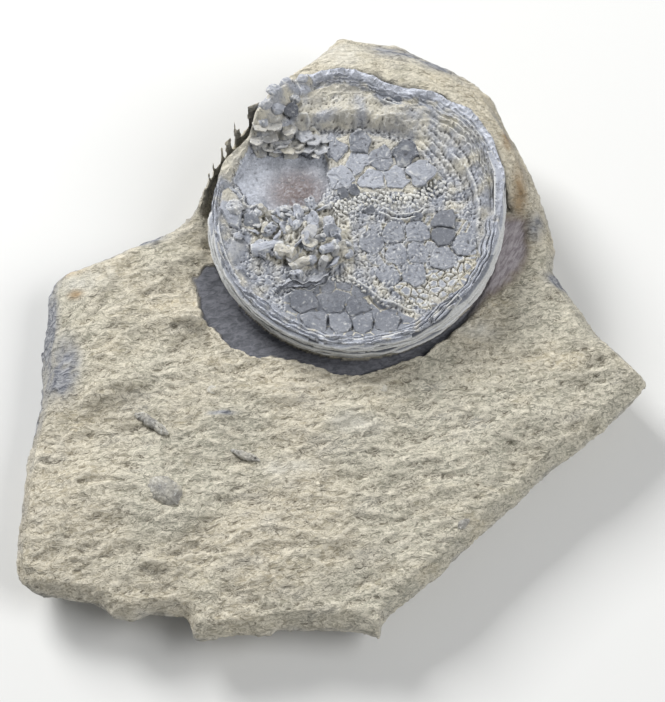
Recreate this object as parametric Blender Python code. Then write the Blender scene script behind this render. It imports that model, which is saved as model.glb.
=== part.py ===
"""Fossil edrioasteroid: a coiled disc of small calcite plates lying in a broken slab of mudstone.

The slab lies flat on its underside, +Z up. The disc (the theca) is set near one edge, in a shallow
moat, and leans 4 degrees towards the slab's long side. Everything is drawn in millimetres about the
theca's centre; at the end the whole piece is moved so that its origin is under the middle of the slab.
"""
import math
import random

import bmesh
import bpy
from mathutils import Matrix, Vector, noise
from mathutils.bvhtree import BVHTree

MM = 0.001                      # the drawing is in millimetres, the objects are in metres
GAP = 0.35                      # air kept between two pieces that touch
SIDES = 84                      # facets around the disc

# ---- the disc, in its own plan ----
SEAT_HEIGHT = 18.0              # slab surface that carries the disc, at the disc's centre
LEAN = math.tan(math.radians(4))
ORAL_RADIUS = 27.0              # plated upper surface, out to the crevice inside the rim
RIM_RADIUS = 31.9               # peripheral rim, outside its stacked layers
FOOT_RADIUS = 30.9              # the stack draws in towards its foot
CREST_RADIUS = 30.8
FLOOR_HEIGHT = 23.0             # upper surface of the disc
CREST_RISE = 2.6
FOLD_FROM, FOLD_TO = 14, 132    # compass of the folded lip, degrees from +X
LAYER_DEPTH = 0.45              # how far the rim's stacked layers step in and out
LAYER_COUNT = 4

# ---- the slab ----
SLAB_LEVEL = 17.0
SLAB_SLOPE = 0.03
POCKET_RADIUS = 32.6            # wall of the pocket that holds the disc
BASE_INSET = 0.11               # the broken underside draws in by this share of the width
EDGE_SPACING = 5.0
# the broken edge seen from above: x, y, height of its upper edge
OUTLINE = [
    (62.4, -34.6, 15.5), (56.5, -28.3, 16), (52.8, -25.1, 16), (44.9, -12.6, 17), (42.8, -9.0, 17.5),
    (43.2, -4.0, 18), (42.2, 2.1, 19), (38.8, 11.3, 20), (35.0, 19.4, 21), (31.4, 26.8, 22),
    (30.0, 30.6, 22), (25.0, 34.8, 22), (16.3, 39.7, 22), (9.7, 43.2, 22), (1.9, 44.3, 22),
    (-3.2, 45.6, 22), (-12.4, 36.2, 21.5), (-20.8, 26.6, 21), (-25.8, 20.8, 20), (-31.2, 12.2, 19.5),
    (-35.4, 3.8, 18.5), (-41.5, -0.6, 17), (-46.9, -2.3, 16), (-59.8, -8.0, 14.5), (-65.1, -9.7, 14),
    (-66.6, -14.0, 14), (-67.1, -28.1, 14.5), (-67.0, -39.7, 15), (-69.4, -54.0, 14.5),
    (-70.6, -74.8, 13.5), (-69.9, -78.1, 13), (-66.2, -80.9, 13), (-60.0, -82.2, 13),
    (-53.2, -83.5, 13), (-50.7, -86.0, 13), (-46.6, -86.9, 13), (-42.5, -85.2, 13), (-34.9, -86.0, 13),
    (-33.2, -91.4, 13), (-24.1, -89.7, 13), (-19.6, -90.3, 13), (-15.5, -88.6, 13), (-0.6, -89.0, 13),
    (4.7, -90.7, 13), (5.5, -86.8, 13.5), (10.6, -82.6, 14), (17.9, -76.5, 14), (25.7, -68.6, 14.5),
    (31.6, -63.3, 14.5), (38.0, -57.1, 15), (50.9, -46.5, 15), (60.0, -37.8, 15)]

# ---- plates of the disc's upper surface: centre x, y ----
UPPER_PLATES = [(-4.3, 15.5), (0.5, 12.3), (5.8, 13.1), (10.3, 13.6), (3.4, 8.4), (9.1, 9.0),
                (13.7, 9.6), (-2.9, 8.6), (1.2, 16.6)]
LOWER_PLATES = [(-10.8, -19.9), (-4.6, -19.2), (0.6, -20.4), (6.4, -24.4), (1.6, -24.0),
                (-3.2, -24.2), (-8.8, -24.2)]
RIGHT_PLATES = [(18.7, -4.8), (18.9, -1.6), (13.2, -4.0), (3.6, -6.2), (8.0, -4.4), (8.6, -9.4),
                (13.4, -8.8), (18.4, -10.2), (23.0, -7.3), (12.6, -13.6), (6.6, -13.4)]
SCALE_PLATES = [(-20.3, 15.6), (-17.2, 15.2), (-14.1, 15.2), (-11.2, 16.2), (-8.2, 15.4)]
# loose ossicles heaped beside the mouth: x, y, radius, length, turn and pitch in degrees
OSSICLES = [(-9.8, -7.4, 2.0, 1.1, 20, 24), (-19.6, -8.1, 1.3, 3.4, 70, 80), (-15.4, -9.0, 1.4, 3.6, 15, 78),
            (-12.9, -3.0, 1.5, 1.2, 140, 50), (-6.0, -2.6, 1.8, 1.0, 200, 40), (-14.8, 1.4, 1.5, 1.0, 95, 62),
            (-9.5, 2.2, 1.2, 2.6, 120, 70), (-18.0, -3.6, 1.2, 2.8, 50, 66), (-4.2, -8.2, 1.7, 1.0, 300, 35),
            (-26.0, 1.4, 2.3, 1.3, 80, 12), (-12.6, -13.9, 1.2, 2.6, 350, 75)]
UPPER_AMBULACRUM = [(-4.7, 1.0), (-0.6, 3.0), (2.8, 3.4), (9.2, 2.2), (14.5, 2.4), (19.5, 4.0), (23.4, 6.4)]
LOWER_AMBULACRUM = [(-6.6, -14.4), (-1.5, -14.8), (3.8, -17.4), (9.0, -20.4), (14.5, -20.6), (19.6, -18.4)]
# small fossils and concretions on the slab: name, x, y, half length, half width, height, turn
SLAB_FOSSILS = [("crinoid_ossicle_left", -30.0, -38.2, 1.7, 1.6, 1.4, 0),
                ("crinoid_ossicle_front", 0.2, -37.6, 1.9, 1.6, 1.3, 20),
                ("crinoid_ossicle_side", 5.4, -37.4, 1.8, 1.5, 1.3, -10),
                ("bryozoan_twig_left", -42.9, -45.3, 5.0, 1.2, 0.9, -34),
                ("bryozoan_twig_middle", -23.0, -52.5, 3.6, 0.8, 0.7, -19),
                ("shell_fragment_ribbed", -39.6, -60.6, 4.2, 3.2, 2.6, -30),
                ("shell_fragment_oval", 22.2, -67.2, 1.6, 1.0, 0.7, 45)]

COLOURS = {"mudstone": (0.46, 0.43, 0.34), "calcite": (0.27, 0.29, 0.33), "pale calcite": (0.42, 0.42, 0.40),
           "dark shell": (0.12, 0.12, 0.13)}


def ease(start, end, value):
    """0 before start, 1 after end, smooth between."""
    share = min(1.0, max(0.0, (value - start) / (end - start)))
    return share * share * (3 - 2 * share)


def bell(value, middle, width):
    """1 at the middle, fading to nothing a couple of widths away."""
    return math.exp(-((value - middle) / width) ** 2)


def mound(x, y, centre_x, centre_y, half_x, half_y):
    """A round bump: 1 in its middle, nothing past its edge."""
    reach = math.hypot((x - centre_x) / half_x, (y - centre_y) / half_y)
    return ease(1.0, 0.0, reach) if reach < 1 else 0.0


def arc_share(angle, start, end, blend):
    """1 between two compass angles in degrees, fading out over blend degrees."""
    return ease(start - blend, start, angle) * (1 - ease(end, end + blend, angle))


def compass(x, y):
    """Degrees from +X, from -180 to 180, with the disc's left side at 180."""
    return math.degrees(math.atan2(y, x))


def lean(y):
    """The disc's plane rises towards +Y."""
    return LEAN * y


def crest_radius(angle):
    """The rim's crest swings out at the left of the fold and in behind the disc's middle."""
    return 31.0 + 1.0 * bell(angle, 108, 16) - 2.2 * bell(angle, 72, 15)


def theca_height(x, y):
    """Upper surface of the disc above its own leaning plan."""
    radius = math.hypot(x, y)
    angle = compass(x, y)
    fold = arc_share(angle, FOLD_FROM, FOLD_TO, 24)
    crest = crest_radius(angle)
    height = FLOOR_HEIGHT + CREST_RISE * ease(24.0, crest, radius)
    height -= 1.0 * arc_share(angle, 146, 172, 10) * ease(26.0, crest, radius)
    height += 1.2 * arc_share(angle, -42, 28, 25) * ease(17, 28, radius)
    height += fold * 3.0 * bell(radius, crest, 1.8)
    swell = 22.4 + 3.0 * bell(angle, 130, 16) + 1.8 * bell(angle, 0, 18)
    height += fold * 3.2 * bell(radius, swell, 2.2 if radius < swell else 4.2)
    height += 2.2 * mound(x, y, -10, -6, 13, 10)
    height -= 1.7 * mound(x, y, -2, -21.5, 17, 8)
    height -= 1.0 * mound(x, y, -17, 7.5, 14, 9)
    return height


def moat_edge(angle):
    """Outer radius of the moat: wide at the front left and at the right, closed behind the disc."""
    along = arc_share(angle, -157, 0, 5)
    width = 2.0 + 4.4 * bell(angle, -9, 12) + 4.3 * bell(angle, -143, 22) - 0.7 * bell(angle, -50, 14)
    return POCKET_RADIUS + along * width


def matrix_height(x, y):
    """Broken upper surface of the slab."""
    angle = compass(x, y)
    radius = math.hypot(x, y)
    bank = arc_share(angle, 32, 140, 45)
    height = SLAB_LEVEL + SLAB_SLOPE * (y + 30)
    height += 0.9 * noise.noise(Vector((x / 21, y / 21, 4.0)))
    height += 0.45 * noise.noise(Vector((x / 8, y / 8, 9.0)))
    height += bank * (10.8 - 0.58 * (radius - POCKET_RADIUS))
    height += 1.9 * mound(x, y, -37.0, -21.5, 9, 6)
    height += 1.6 * mound(x, y, -52, -37, 16, 7)
    height -= 1.5 * mound(x, y, -57, -50, 15, 7)
    height -= 1.8 * mound(x, y, -58, -14, 16, 11)
    height += 1.1 * mound(x, y, -40, -60, 9, 7)
    height += 0.9 * mound(x, y, -8, -40, 26, 5)
    height -= 0.8 * mound(x, y, 37, -48, 12, 18)
    return height


def quads_between(bm, first, second):
    """A band of quads between two closed loops of vertices."""
    count = len(first)
    for index in range(count):
        after = (index + 1) % count
        bm.faces.new((first[index], first[after], second[after], second[index]))


def add_loop(bm, points):
    return [bm.verts.new(point) for point in points]


def shade(name):
    """Principled material of one of the stone's four shades."""
    material = bpy.data.materials.get(name)
    if material is None:
        material = bpy.data.materials.new(name)
        material.use_nodes = True
        surface = material.node_tree.nodes["Principled BSDF"]
        surface.inputs["Base Color"].default_value = (*COLOURS[name], 1.0)
        surface.inputs["Roughness"].default_value = 0.85
        surface.inputs["Metallic"].default_value = 0.0
    return material


def finish(bm, name, colour):
    """Turn millimetres into metres and make one named object of the mesh."""
    bmesh.ops.recalc_face_normals(bm, faces=bm.faces)
    bmesh.ops.triangulate(bm, faces=[face for face in bm.faces if len(face.verts) > 3])
    bmesh.ops.scale(bm, vec=(MM, MM, MM), verts=bm.verts)
    mesh = bpy.data.meshes.new(name)
    bm.to_mesh(mesh)
    bm.free()
    body = bpy.data.objects.new(name, mesh)
    mesh.materials.append(shade(colour))
    bpy.context.collection.objects.link(body)
    return body


def upper_surface(bodies, between):
    """A function for the height of the bodies' upper side, with another height in the gaps between them."""
    points = []
    faces = []
    for body in bodies:
        start = len(points)
        points += [vertex.co / MM for vertex in body.data.vertices]
        faces += [[start + corner for corner in face.vertices] for face in body.data.polygons]
    tree = BVHTree.FromPolygons(points, faces)

    def height(x, y):
        hit = tree.ray_cast(Vector((x, y, 100)), Vector((0, 0, -1)))[0]
        return hit.z if hit else between(x, y)
    return height


def edge_points(spacing):
    """The outline with its long runs divided, each point as angle, radius and edge height."""
    points = []
    for start, end in zip(OUTLINE, OUTLINE[1:] + OUTLINE[:1]):
        run = math.hypot(end[0] - start[0], end[1] - start[1])
        steps = max(1, round(run / spacing))
        for step in range(steps):
            share = step / steps
            x, y, top = (one + (two - one) * share for one, two in zip(start, end))
            ragged = 0.5 * noise.noise(Vector((x / 2.6, y / 2.6, 1.0))) if step else 0.0
            points.append((math.atan2(y, x), math.hypot(x, y) + ragged, top))
    return points


def make_slab():
    edge = edge_points(EDGE_SPACING)
    bm = bmesh.new()

    def ring(radius_at, height_at):
        points = []
        for angle, reach, top in edge:
            radius = radius_at(angle, reach)
            x, y = radius * math.cos(angle), radius * math.sin(angle)
            points.append((x, y, height_at(x, y, top)))
        return add_loop(bm, points)

    def seat(x, y, _top):
        return SEAT_HEIGHT + lean(y)

    def moat(x, y, _top):
        return SEAT_HEIGHT + lean(y) - 0.9

    def field(share):
        def height(x, y, top):
            level = matrix_height(x, y)
            return level + (top - level) * ease(0.75, 1.0, share)
        return height

    def chamfer(angle):
        degrees = math.degrees(angle)
        return 3.0 + 1.2 * arc_share(degrees, -32, -12, 5) - 1.8 * arc_share(degrees, 20, 150, 25)

    def brow(x, y, top):
        return top - 3.4 + 2.4 * arc_share(compass(x, y), 20, 150, 25)

    rings = [ring(lambda angle, reach: min(30.2, reach - 1.8), seat)]
    rings.append(ring(lambda angle, reach: min(31.2, reach - 1.3), moat))
    rings.append(ring(lambda angle, reach: min(moat_edge(math.degrees(angle)) - 0.1, reach - 0.9), moat))
    rings.append(ring(lambda angle, reach: min(moat_edge(math.degrees(angle)) + 0.7, reach - 0.55), field(0)))
    for share in (0.12, 0.3, 0.5, 0.7, 0.88, 1.0):
        def spread(angle, reach, share=share):
            start = min(moat_edge(math.degrees(angle)) + 0.7, reach - 0.55)
            rim = reach - min(chamfer(angle), 0.5 * (reach - start))
            return start + (rim - start) * share
        rings.append(ring(spread, field(share)))
    rings.append(ring(lambda angle, reach: reach, brow))
    rings.append(ring(lambda angle, reach: reach * (1 - 0.3 * BASE_INSET), lambda x, y, top: 0.5 * top - 1))
    rings.append(ring(lambda angle, reach: reach * (1 - BASE_INSET), lambda x, y, top: 0.0))
    for first, second in zip(rings, rings[1:]):
        quads_between(bm, first, second)
    bm.faces.new(rings[0])
    bm.faces.new(reversed(rings[-1]))
    return finish(bm, "matrix_slab", "mudstone")


def disc_loop(bm, radius, height_at):
    points = []
    for index in range(SIDES):
        angle = 2 * math.pi * index / SIDES
        x, y = radius * math.cos(angle), radius * math.sin(angle)
        points.append((x, y, height_at(x, y) + lean(y)))
    return add_loop(bm, points)


def make_oral_surface():
    """The plated upper side of the animal, out to the crevice inside its rim."""
    bm = bmesh.new()
    bottom = SEAT_HEIGHT + GAP
    loops = [disc_loop(bm, ORAL_RADIUS, lambda x, y: bottom)]
    for radius in (ORAL_RADIUS, 25.0, 23.4, 21.8, 20.0, 17.8, 14.4, 10.4, 6.0, 2.0):
        loops.append(disc_loop(bm, radius, theca_height))
    for first, second in zip(loops, loops[1:]):
        quads_between(bm, first, second)
    bm.faces.new(reversed(loops[0]))
    bm.faces.new(loops[-1])
    return finish(bm, "oral_surface", "calcite")


def make_rim():
    """The raised rim: a ring whose outer wall steps in and out where its thin layers are stacked."""
    bm = bmesh.new()
    bottom = SEAT_HEIGHT + GAP
    inner = ORAL_RADIUS + GAP
    loops = [disc_loop(bm, inner, lambda x, y: bottom)]
    for radius in (inner, 28.4, 29.6, CREST_RADIUS, 31.5):
        loops.append(disc_loop(bm, radius, theca_height))
    wall_top = 24.4
    for index in range(2 * LAYER_COUNT):
        share = index / (2 * LAYER_COUNT - 1)
        height = wall_top - (wall_top - bottom - 0.5) * share
        radius = RIM_RADIUS - (RIM_RADIUS - FOOT_RADIUS) * share - LAYER_DEPTH * (index % 2)
        loops.append(disc_loop(bm, radius, lambda x, y, height=height: height))
    loops.append(disc_loop(bm, FOOT_RADIUS - 1, lambda x, y: bottom))
    for first, second in zip(loops, loops[1:] + loops[:1]):
        quads_between(bm, first, second)
    return finish(bm, "peripheral_rim", "calcite")


def clip(polygon, near, far):
    """Keep the part of a polygon that is nearer to one point than to the other, less half a gap."""
    middle = (near + far) / 2
    away = (far - near).normalized()
    kept = []
    for start, end in zip(polygon, polygon[1:] + polygon[:1]):
        inside = (start - middle).dot(away) + GAP / 2
        beyond = (end - middle).dot(away) + GAP / 2
        if inside <= 0:
            kept.append(start)
        if (inside < 0) != (beyond < 0) and inside != beyond:
            kept.append(start.lerp(end, inside / (inside - beyond)))
    return kept


def plate_outline(centre, neighbours, reach, chance):
    """An uneven polygon around the centre, cut back where its neighbours begin."""
    centre = Vector(centre)
    corners = 7
    start = chance.uniform(0, 360)
    polygon = []
    for index in range(corners):
        angle = math.radians(start + 360 / corners * index + chance.uniform(-14, 14))
        arm = Vector((math.cos(angle), math.sin(angle)))
        polygon.append(centre + reach * chance.uniform(0.82, 1.12) * arm)
    for other in neighbours:
        other = Vector(other)
        if 0.1 < (other - centre).length < 2 * reach + 1:
            polygon = clip(polygon, centre, other)
    return [point for point, after in zip(polygon, polygon[1:] + polygon[:1]) if (after - point).length > GAP]


def resting_plane(outline, surface):
    """A plane over the outline, clear of the surface by the gap: its middle, height there and slopes."""
    middle = sum(outline, Vector((0, 0))) / len(outline)
    samples = [middle]
    for point, after in zip(outline, outline[1:] + outline[:1]):
        samples += [point, (point + after) / 2, (point + middle) / 2, point + (point - middle) * 0.08]
    reach = max((point - middle).length for point in outline)
    slope_x = (surface(middle.x + reach, middle.y) - surface(middle.x - reach, middle.y)) / (2 * reach)
    slope_y = (surface(middle.x, middle.y + reach) - surface(middle.x, middle.y - reach)) / (2 * reach)
    lift = max(surface(point.x, point.y) - slope_x * (point.x - middle.x) - slope_y * (point.y - middle.y)
               for point in samples)
    return middle, lift + GAP, slope_x, slope_y


def make_plate(name, outline, surface, thickness, colour):
    """One polygonal plate: its outline extruded up from the surface, with the upper edge bevelled."""
    middle, height, slope_x, slope_y = resting_plane(outline, surface)
    bm = bmesh.new()
    lowest = []
    for point in outline:
        offset = point - middle
        lowest.append((point.x, point.y, height + slope_x * offset.x + slope_y * offset.y))
    base = bm.faces.new(add_loop(bm, lowest))
    raised = bmesh.ops.extrude_face_region(bm, geom=[base])["geom"]
    bmesh.ops.translate(bm, vec=(0, 0, thickness), verts=[item for item in raised if hasattr(item, "co")])
    top = [item for item in raised if isinstance(item, bmesh.types.BMEdge)]
    chamfer = 0.22 * thickness
    bmesh.ops.bevel(bm, geom=top, offset=chamfer, segments=1, profile=0.5, affect="EDGES", material=-1)
    return finish(bm, name, colour)


def make_ossicle(name, place, surface, chance):
    """A loose ossicle: a six to eight sided prism with bevelled ends, turned, pitched and set down."""
    x, y, radius, length, turn, pitch = place
    bm = bmesh.new()
    bmesh.ops.create_cone(bm, cap_ends=True, segments=chance.choice((6, 7, 8)), radius1=radius,
                          radius2=0.86 * radius, depth=length)
    ends = [edge for edge in bm.edges if abs(edge.verts[0].co.z - edge.verts[1].co.z) < 0.01]
    bmesh.ops.bevel(bm, geom=ends, offset=0.14 * radius, segments=1, profile=0.5, affect="EDGES", material=-1)
    tip = Matrix.Rotation(math.radians(turn), 3, "Z") @ Matrix.Rotation(math.radians(pitch), 3, "Y")
    bmesh.ops.rotate(bm, cent=(0, 0, 0), matrix=tip, verts=bm.verts)
    bmesh.ops.translate(bm, vec=(x, y, 0), verts=bm.verts)
    near = [(0, 0), (0.6, 0), (-0.6, 0), (0, 0.6), (0, -0.6)]
    lift = max(surface(vertex.co.x + dx, vertex.co.y + dy) - vertex.co.z
               for vertex in bm.verts for dx, dy in near)
    bmesh.ops.translate(bm, vec=(0, 0, lift + GAP), verts=bm.verts)
    return finish(bm, name, "pale calcite")


def along(path, steps):
    """Points along a smooth curve through the given ones (Catmull-Rom)."""
    guides = [Vector(point) for point in path]
    guides = [2 * guides[0] - guides[1], *guides, 2 * guides[-1] - guides[-2]]
    points = []
    for before, start, end, after in zip(guides, guides[1:], guides[2:], guides[3:]):
        square = 2 * before - 5 * start + 4 * end - after
        cube = 3 * start - before - 3 * end + after
        for step in range(steps):
            t = step / steps
            points.append(0.5 * (2 * start + (end - before) * t + square * t * t + cube * t ** 3))
    return points + [guides[-2]]


def make_ambulacrum(name, path, half_width, height, surface):
    """A food groove's arched ridge of cover plates, lying on the disc and thinning to its tip."""
    bm = bmesh.new()
    points = along(path, 4)
    sections = []
    for index, point in enumerate(points):
        ahead = points[min(index + 1, len(points) - 1)] - points[max(index - 1, 0)]
        side = Vector((-ahead.y, ahead.x)).normalized()
        share = index / (len(points) - 1)
        width = half_width * (1 - 0.5 * share) * ease(-0.06, 0.1, share)
        profile = [(-1, 0), (-0.7, 0.75), (0, 1), (0.7, 0.75), (1, 0)]
        grounds = [surface(*(point + side * width * 1.15 * across)) for across in (-1, -0.5, 0, 0.5, 1)]
        ground = max(grounds) + GAP
        section = [(*(point + side * width * across), ground + height * up) for across, up in profile]
        sections.append(add_loop(bm, section))
    for first, second in zip(sections, sections[1:]):
        quads_between(bm, first, second)
    bm.faces.new(reversed(sections[0]))
    bm.faces.new(sections[-1])
    return finish(bm, name, "pale calcite")


def make_slab_fossil(entry, surface):
    """A small fossil half bedded in the slab: a low dome on an oval or long foot."""
    name, x, y, half_length, half_width, height, turn = entry
    sides = 14
    outline = []
    for index in range(sides):
        angle = 2 * math.pi * index / sides
        point = Vector((half_length * math.cos(angle), half_width * math.sin(angle)))
        point.rotate(Matrix.Rotation(math.radians(turn), 2))
        outline.append(point + Vector((x, y)))
    middle, ground, slope_x, slope_y = resting_plane(outline, surface)
    bm = bmesh.new()
    loops = []
    for share, up in ((1.0, 0.0), (0.94, 0.45), (0.72, 0.82), (0.36, 1.0)):
        points = []
        for point in outline:
            offset = (point - middle) * share
            tilt = slope_x * offset.x + slope_y * offset.y
            points.append((middle.x + offset.x, middle.y + offset.y, ground + tilt + height * up))
        loops.append(add_loop(bm, points))
    for first, second in zip(loops, loops[1:]):
        quads_between(bm, first, second)
    bm.faces.new(reversed(loops[0]))
    bm.faces.new(loops[-1])
    colour = "dark shell" if "ossicle" not in name else "pale calcite"
    return finish(bm, name, colour)


def make_plates(group, centres, reach, thickness, colour, blockers, surface, chance):
    """All the plates of one field, each cut back from the others and from the ridges beside them."""
    made = []
    for number, centre in enumerate(centres, 1):
        outline = plate_outline(centre, blockers, reach, chance)
        made.append(make_plate(f"{group}_{number}", outline, surface, thickness, colour))
    return made


def build():
    for leftover in list(bpy.data.objects):
        bpy.data.objects.remove(leftover, do_unlink=True)
    chance = random.Random(7)
    slab = make_slab()
    oral = make_oral_surface()
    rim = make_rim()
    disc = upper_surface([oral, rim], lambda x, y: theca_height(x, y) + lean(y))
    ground = upper_surface([slab], matrix_height)
    bodies = [slab, oral, rim]
    bodies.append(make_ambulacrum("upper_ambulacrum", UPPER_AMBULACRUM, 1.6, 1.1, disc))
    bodies.append(make_ambulacrum("lower_ambulacrum", LOWER_AMBULACRUM, 1.2, 1.0, disc))
    ridges = along(UPPER_AMBULACRUM, 3) + along(LOWER_AMBULACRUM, 3)
    heap = [place[:2] for place in OSSICLES]
    fields = UPPER_PLATES + LOWER_PLATES + RIGHT_PLATES + SCALE_PLATES
    blockers = fields + heap + ridges
    bodies += make_plates("upper_plate", UPPER_PLATES, 3.4, 0.8, "calcite", blockers, disc, chance)
    bodies += make_plates("lower_plate", LOWER_PLATES, 3.6, 0.7, "calcite", blockers, disc, chance)
    bodies += make_plates("right_plate", RIGHT_PLATES, 3.1, 0.8, "calcite", blockers, disc, chance)
    bodies += make_plates("scale_plate", SCALE_PLATES, 2.4, 0.6, "pale calcite", blockers, disc, chance)
    for number, place in enumerate(OSSICLES, 1):
        bodies.append(make_ossicle(f"loose_ossicle_{number}", place, disc, chance))
    for entry in SLAB_FOSSILS:
        bodies.append(make_slab_fossil(entry, ground))
    across = [vertex.co.x for vertex in slab.data.vertices]
    deep = [vertex.co.y for vertex in slab.data.vertices]
    under_middle = Vector((-(min(across) + max(across)) / 2, -(min(deep) + max(deep)) / 2, 0))
    for body in bodies:
        body.location = under_middle
    print(f"{len(bodies)} pieces, {sum(len(body.data.polygons) for body in bodies)} triangles")


build()
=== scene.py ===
# %% [markdown]
# # A fossil edrioasteroid on its slab
#
# An edrioasteroid was a flat, round relative of the starfish, a few centimetres across, whose skin was
# a mosaic of small calcite plates. This one was buried whole, so its plates still lie in place: a
# plated upper surface, a raised rim of thin stacked layers, and a lip that folded over at the back.
#
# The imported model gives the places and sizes. Every piece here is drawn in millimetres about the
# disc's centre, because all its features are easier to think of that way, and is then moved to where
# the frame has the disc.

import math
import random

import bmesh
import bpy
from mathutils import Matrix, Vector, noise
from mathutils.bvhtree import BVHTree


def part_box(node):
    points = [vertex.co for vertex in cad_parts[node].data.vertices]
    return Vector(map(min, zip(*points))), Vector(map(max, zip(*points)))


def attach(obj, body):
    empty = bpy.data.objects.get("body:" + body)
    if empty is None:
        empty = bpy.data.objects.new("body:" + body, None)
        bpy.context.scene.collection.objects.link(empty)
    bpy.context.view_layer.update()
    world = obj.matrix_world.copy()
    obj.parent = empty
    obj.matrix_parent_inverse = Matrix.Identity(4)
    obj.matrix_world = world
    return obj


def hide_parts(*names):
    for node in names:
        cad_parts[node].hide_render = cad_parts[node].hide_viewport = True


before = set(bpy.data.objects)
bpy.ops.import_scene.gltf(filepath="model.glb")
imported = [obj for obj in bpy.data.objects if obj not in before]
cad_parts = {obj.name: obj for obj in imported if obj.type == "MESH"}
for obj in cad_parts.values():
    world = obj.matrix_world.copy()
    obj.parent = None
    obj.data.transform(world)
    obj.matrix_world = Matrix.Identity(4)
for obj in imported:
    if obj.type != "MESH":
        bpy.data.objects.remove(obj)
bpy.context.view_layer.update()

# %% [markdown]
# ## The disc's own measures
#
# The rim's box gives the disc's centre and radius. The disc leans a few degrees, so heights are
# given above its own plane, and `lean` adds the rest.

# %% Measures
MM = 0.001
rim_low, rim_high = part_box("peripheral_rim")
CENTRE = Vector(((rim_low.x + rim_high.x) / 2, (rim_low.y + rim_high.y) / 2, 0))
RIM = (rim_high.x - rim_low.x) / 2 / MM
ORAL = 27.0
LEAN = math.tan(math.radians(4))
SEAT = rim_low.z / MM + RIM * LEAN
FLOOR = 23.0
CREST = 25.6
print(f"disc radius {RIM:.1f} mm about {CENTRE.x / MM:.1f}, {CENTRE.y / MM:.1f}; it sits at {SEAT:.1f} mm")


def lean(y):
    return LEAN * y


def place(bm):
    """Millimetres about the disc's centre become metres in the frame."""
    bmesh.ops.scale(bm, vec=(MM, MM, MM), verts=bm.verts)
    bmesh.ops.translate(bm, vec=CENTRE, verts=bm.verts)


def unplace(bm):
    """Metres in the frame become millimetres about the disc's centre."""
    bmesh.ops.translate(bm, vec=-CENTRE, verts=bm.verts)
    bmesh.ops.scale(bm, vec=(1 / MM, 1 / MM, 1 / MM), verts=bm.verts)


# %% [markdown]
# ## Small helpers for natural shapes
#
# Stone has no straight rules, so most shapes below are a smooth plan (a few eased bumps) with noise of
# several grain sizes on it. `cells` gives a mosaic: the distance to the nearest seam, and a number
# that is the same all over one cell. A patch is drawn by a handful of corner points, and `inside` says
# how many millimetres a place is within it.

# %% Helpers
def ease(start, end, value):
    share = min(1.0, max(0.0, (value - start) / (end - start)))
    return share * share * (3 - 2 * share)


def bell(value, middle, width):
    return math.exp(-((value - middle) / width) ** 2)


def mound(x, y, centre_x, centre_y, half_x, half_y):
    reach = math.hypot((x - centre_x) / half_x, (y - centre_y) / half_y)
    return ease(1.0, 0.0, reach) if reach < 1 else 0.0


def compass(x, y):
    return math.degrees(math.atan2(y, x))


def arc_share(angle, start, end, blend):
    return ease(start - blend, start, angle) * (1 - ease(end, end + blend, angle))


def grain(x, y, size, layer=0.0):
    return noise.noise(Vector((x / size, y / size, layer)))


def crisp(x, y, size, layer=0.0):
    """Noise with sharp ridges and round hollows."""
    return 0.5 - 2 * abs(noise.noise(Vector((x / size, y / size, layer))))


def cells(x, y, size, layer):
    """Distance to the nearest seam in millimetres, and the cell's own number."""
    distances, points = noise.voronoi(Vector((x / size, y / size, layer)))
    own = math.sin(points[0].x * 12.99 + points[0].y * 78.23 + points[0].z * 37.7) * 43758.5
    return (distances[1] - distances[0]) * size, own - math.floor(own)


def inside(x, y, outline):
    """Millimetres within a closed outline, negative outside it."""
    nearest = 1e9
    within = False
    before_x, before_y = outline[-1]
    for after_x, after_y in outline:
        run_x, run_y = after_x - before_x, after_y - before_y
        share = ((x - before_x) * run_x + (y - before_y) * run_y) / (run_x * run_x + run_y * run_y)
        share = min(1.0, max(0.0, share))
        away = (x - before_x - share * run_x) ** 2 + (y - before_y - share * run_y) ** 2
        nearest = min(nearest, away)
        if (before_y > y) != (after_y > y) and x < before_x + (y - before_y) * run_x / run_y:
            within = not within
        before_x, before_y = after_x, after_y
    return math.sqrt(nearest) if within else -math.sqrt(nearest)


def path_reach(x, y, path):
    """Millimetres to an open line of points, and how far along it the nearest place is, 0 to 1."""
    nearest, where = 1e9, 0.0
    for leg, ((start_x, start_y), (end_x, end_y)) in enumerate(zip(path, path[1:])):
        run_x, run_y = end_x - start_x, end_y - start_y
        share = ((x - start_x) * run_x + (y - start_y) * run_y) / (run_x * run_x + run_y * run_y)
        share = min(1.0, max(0.0, share))
        away = math.hypot(x - start_x - share * run_x, y - start_y - share * run_y)
        if away < nearest:
            nearest, where = away, (leg + share) / (len(path) - 1)
    return nearest, where


# %% [markdown]
# ## Two marks on every mesh
#
# The stone's colour follows its shape: hollows are painted darker as painted shade, or keep cream mud,
# and ridges are painted paler, partly as rubbed wear and partly as painted highlight. So each mesh
# carries `relief`, how far a point stands out from its smoothed self, and `tone`, four painted shares.
# On the disc they are mud, pale crust, rust, and dark stone that also serves as painted shade in slits
# and under overhangs; on the slab they are dark skin, grey face, brown stain and pale chalk. Both are
# worked out from the shape, and the shaders read them.

# %% Marks and finishing
def soften(bm, factor=0.5):
    bmesh.ops.smooth_vert(bm, verts=bm.verts, factor=factor, use_axis_x=True, use_axis_y=True,
                          use_axis_z=True)


def mark_relief(bm, passes, full):
    """Store how far each point stands out from the smoothed surface; full is a reach of one."""
    bm.normal_update()
    sharp = [(vert.co.copy(), vert.normal.copy()) for vert in bm.verts]
    for _ in range(passes):
        soften(bm)
    layer = bm.verts.layers.float.new("relief")
    for vert, (spot, normal) in zip(bm.verts, sharp):
        vert[layer] = max(-1.0, min(1.0, (spot - vert.co).dot(normal) / full))
        vert.co = spot


def paint(bm, tone_at):
    layer = bm.verts.layers.float_color.new("tone")
    for vert in bm.verts:
        vert[layer] = tone_at(vert.co)


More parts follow.
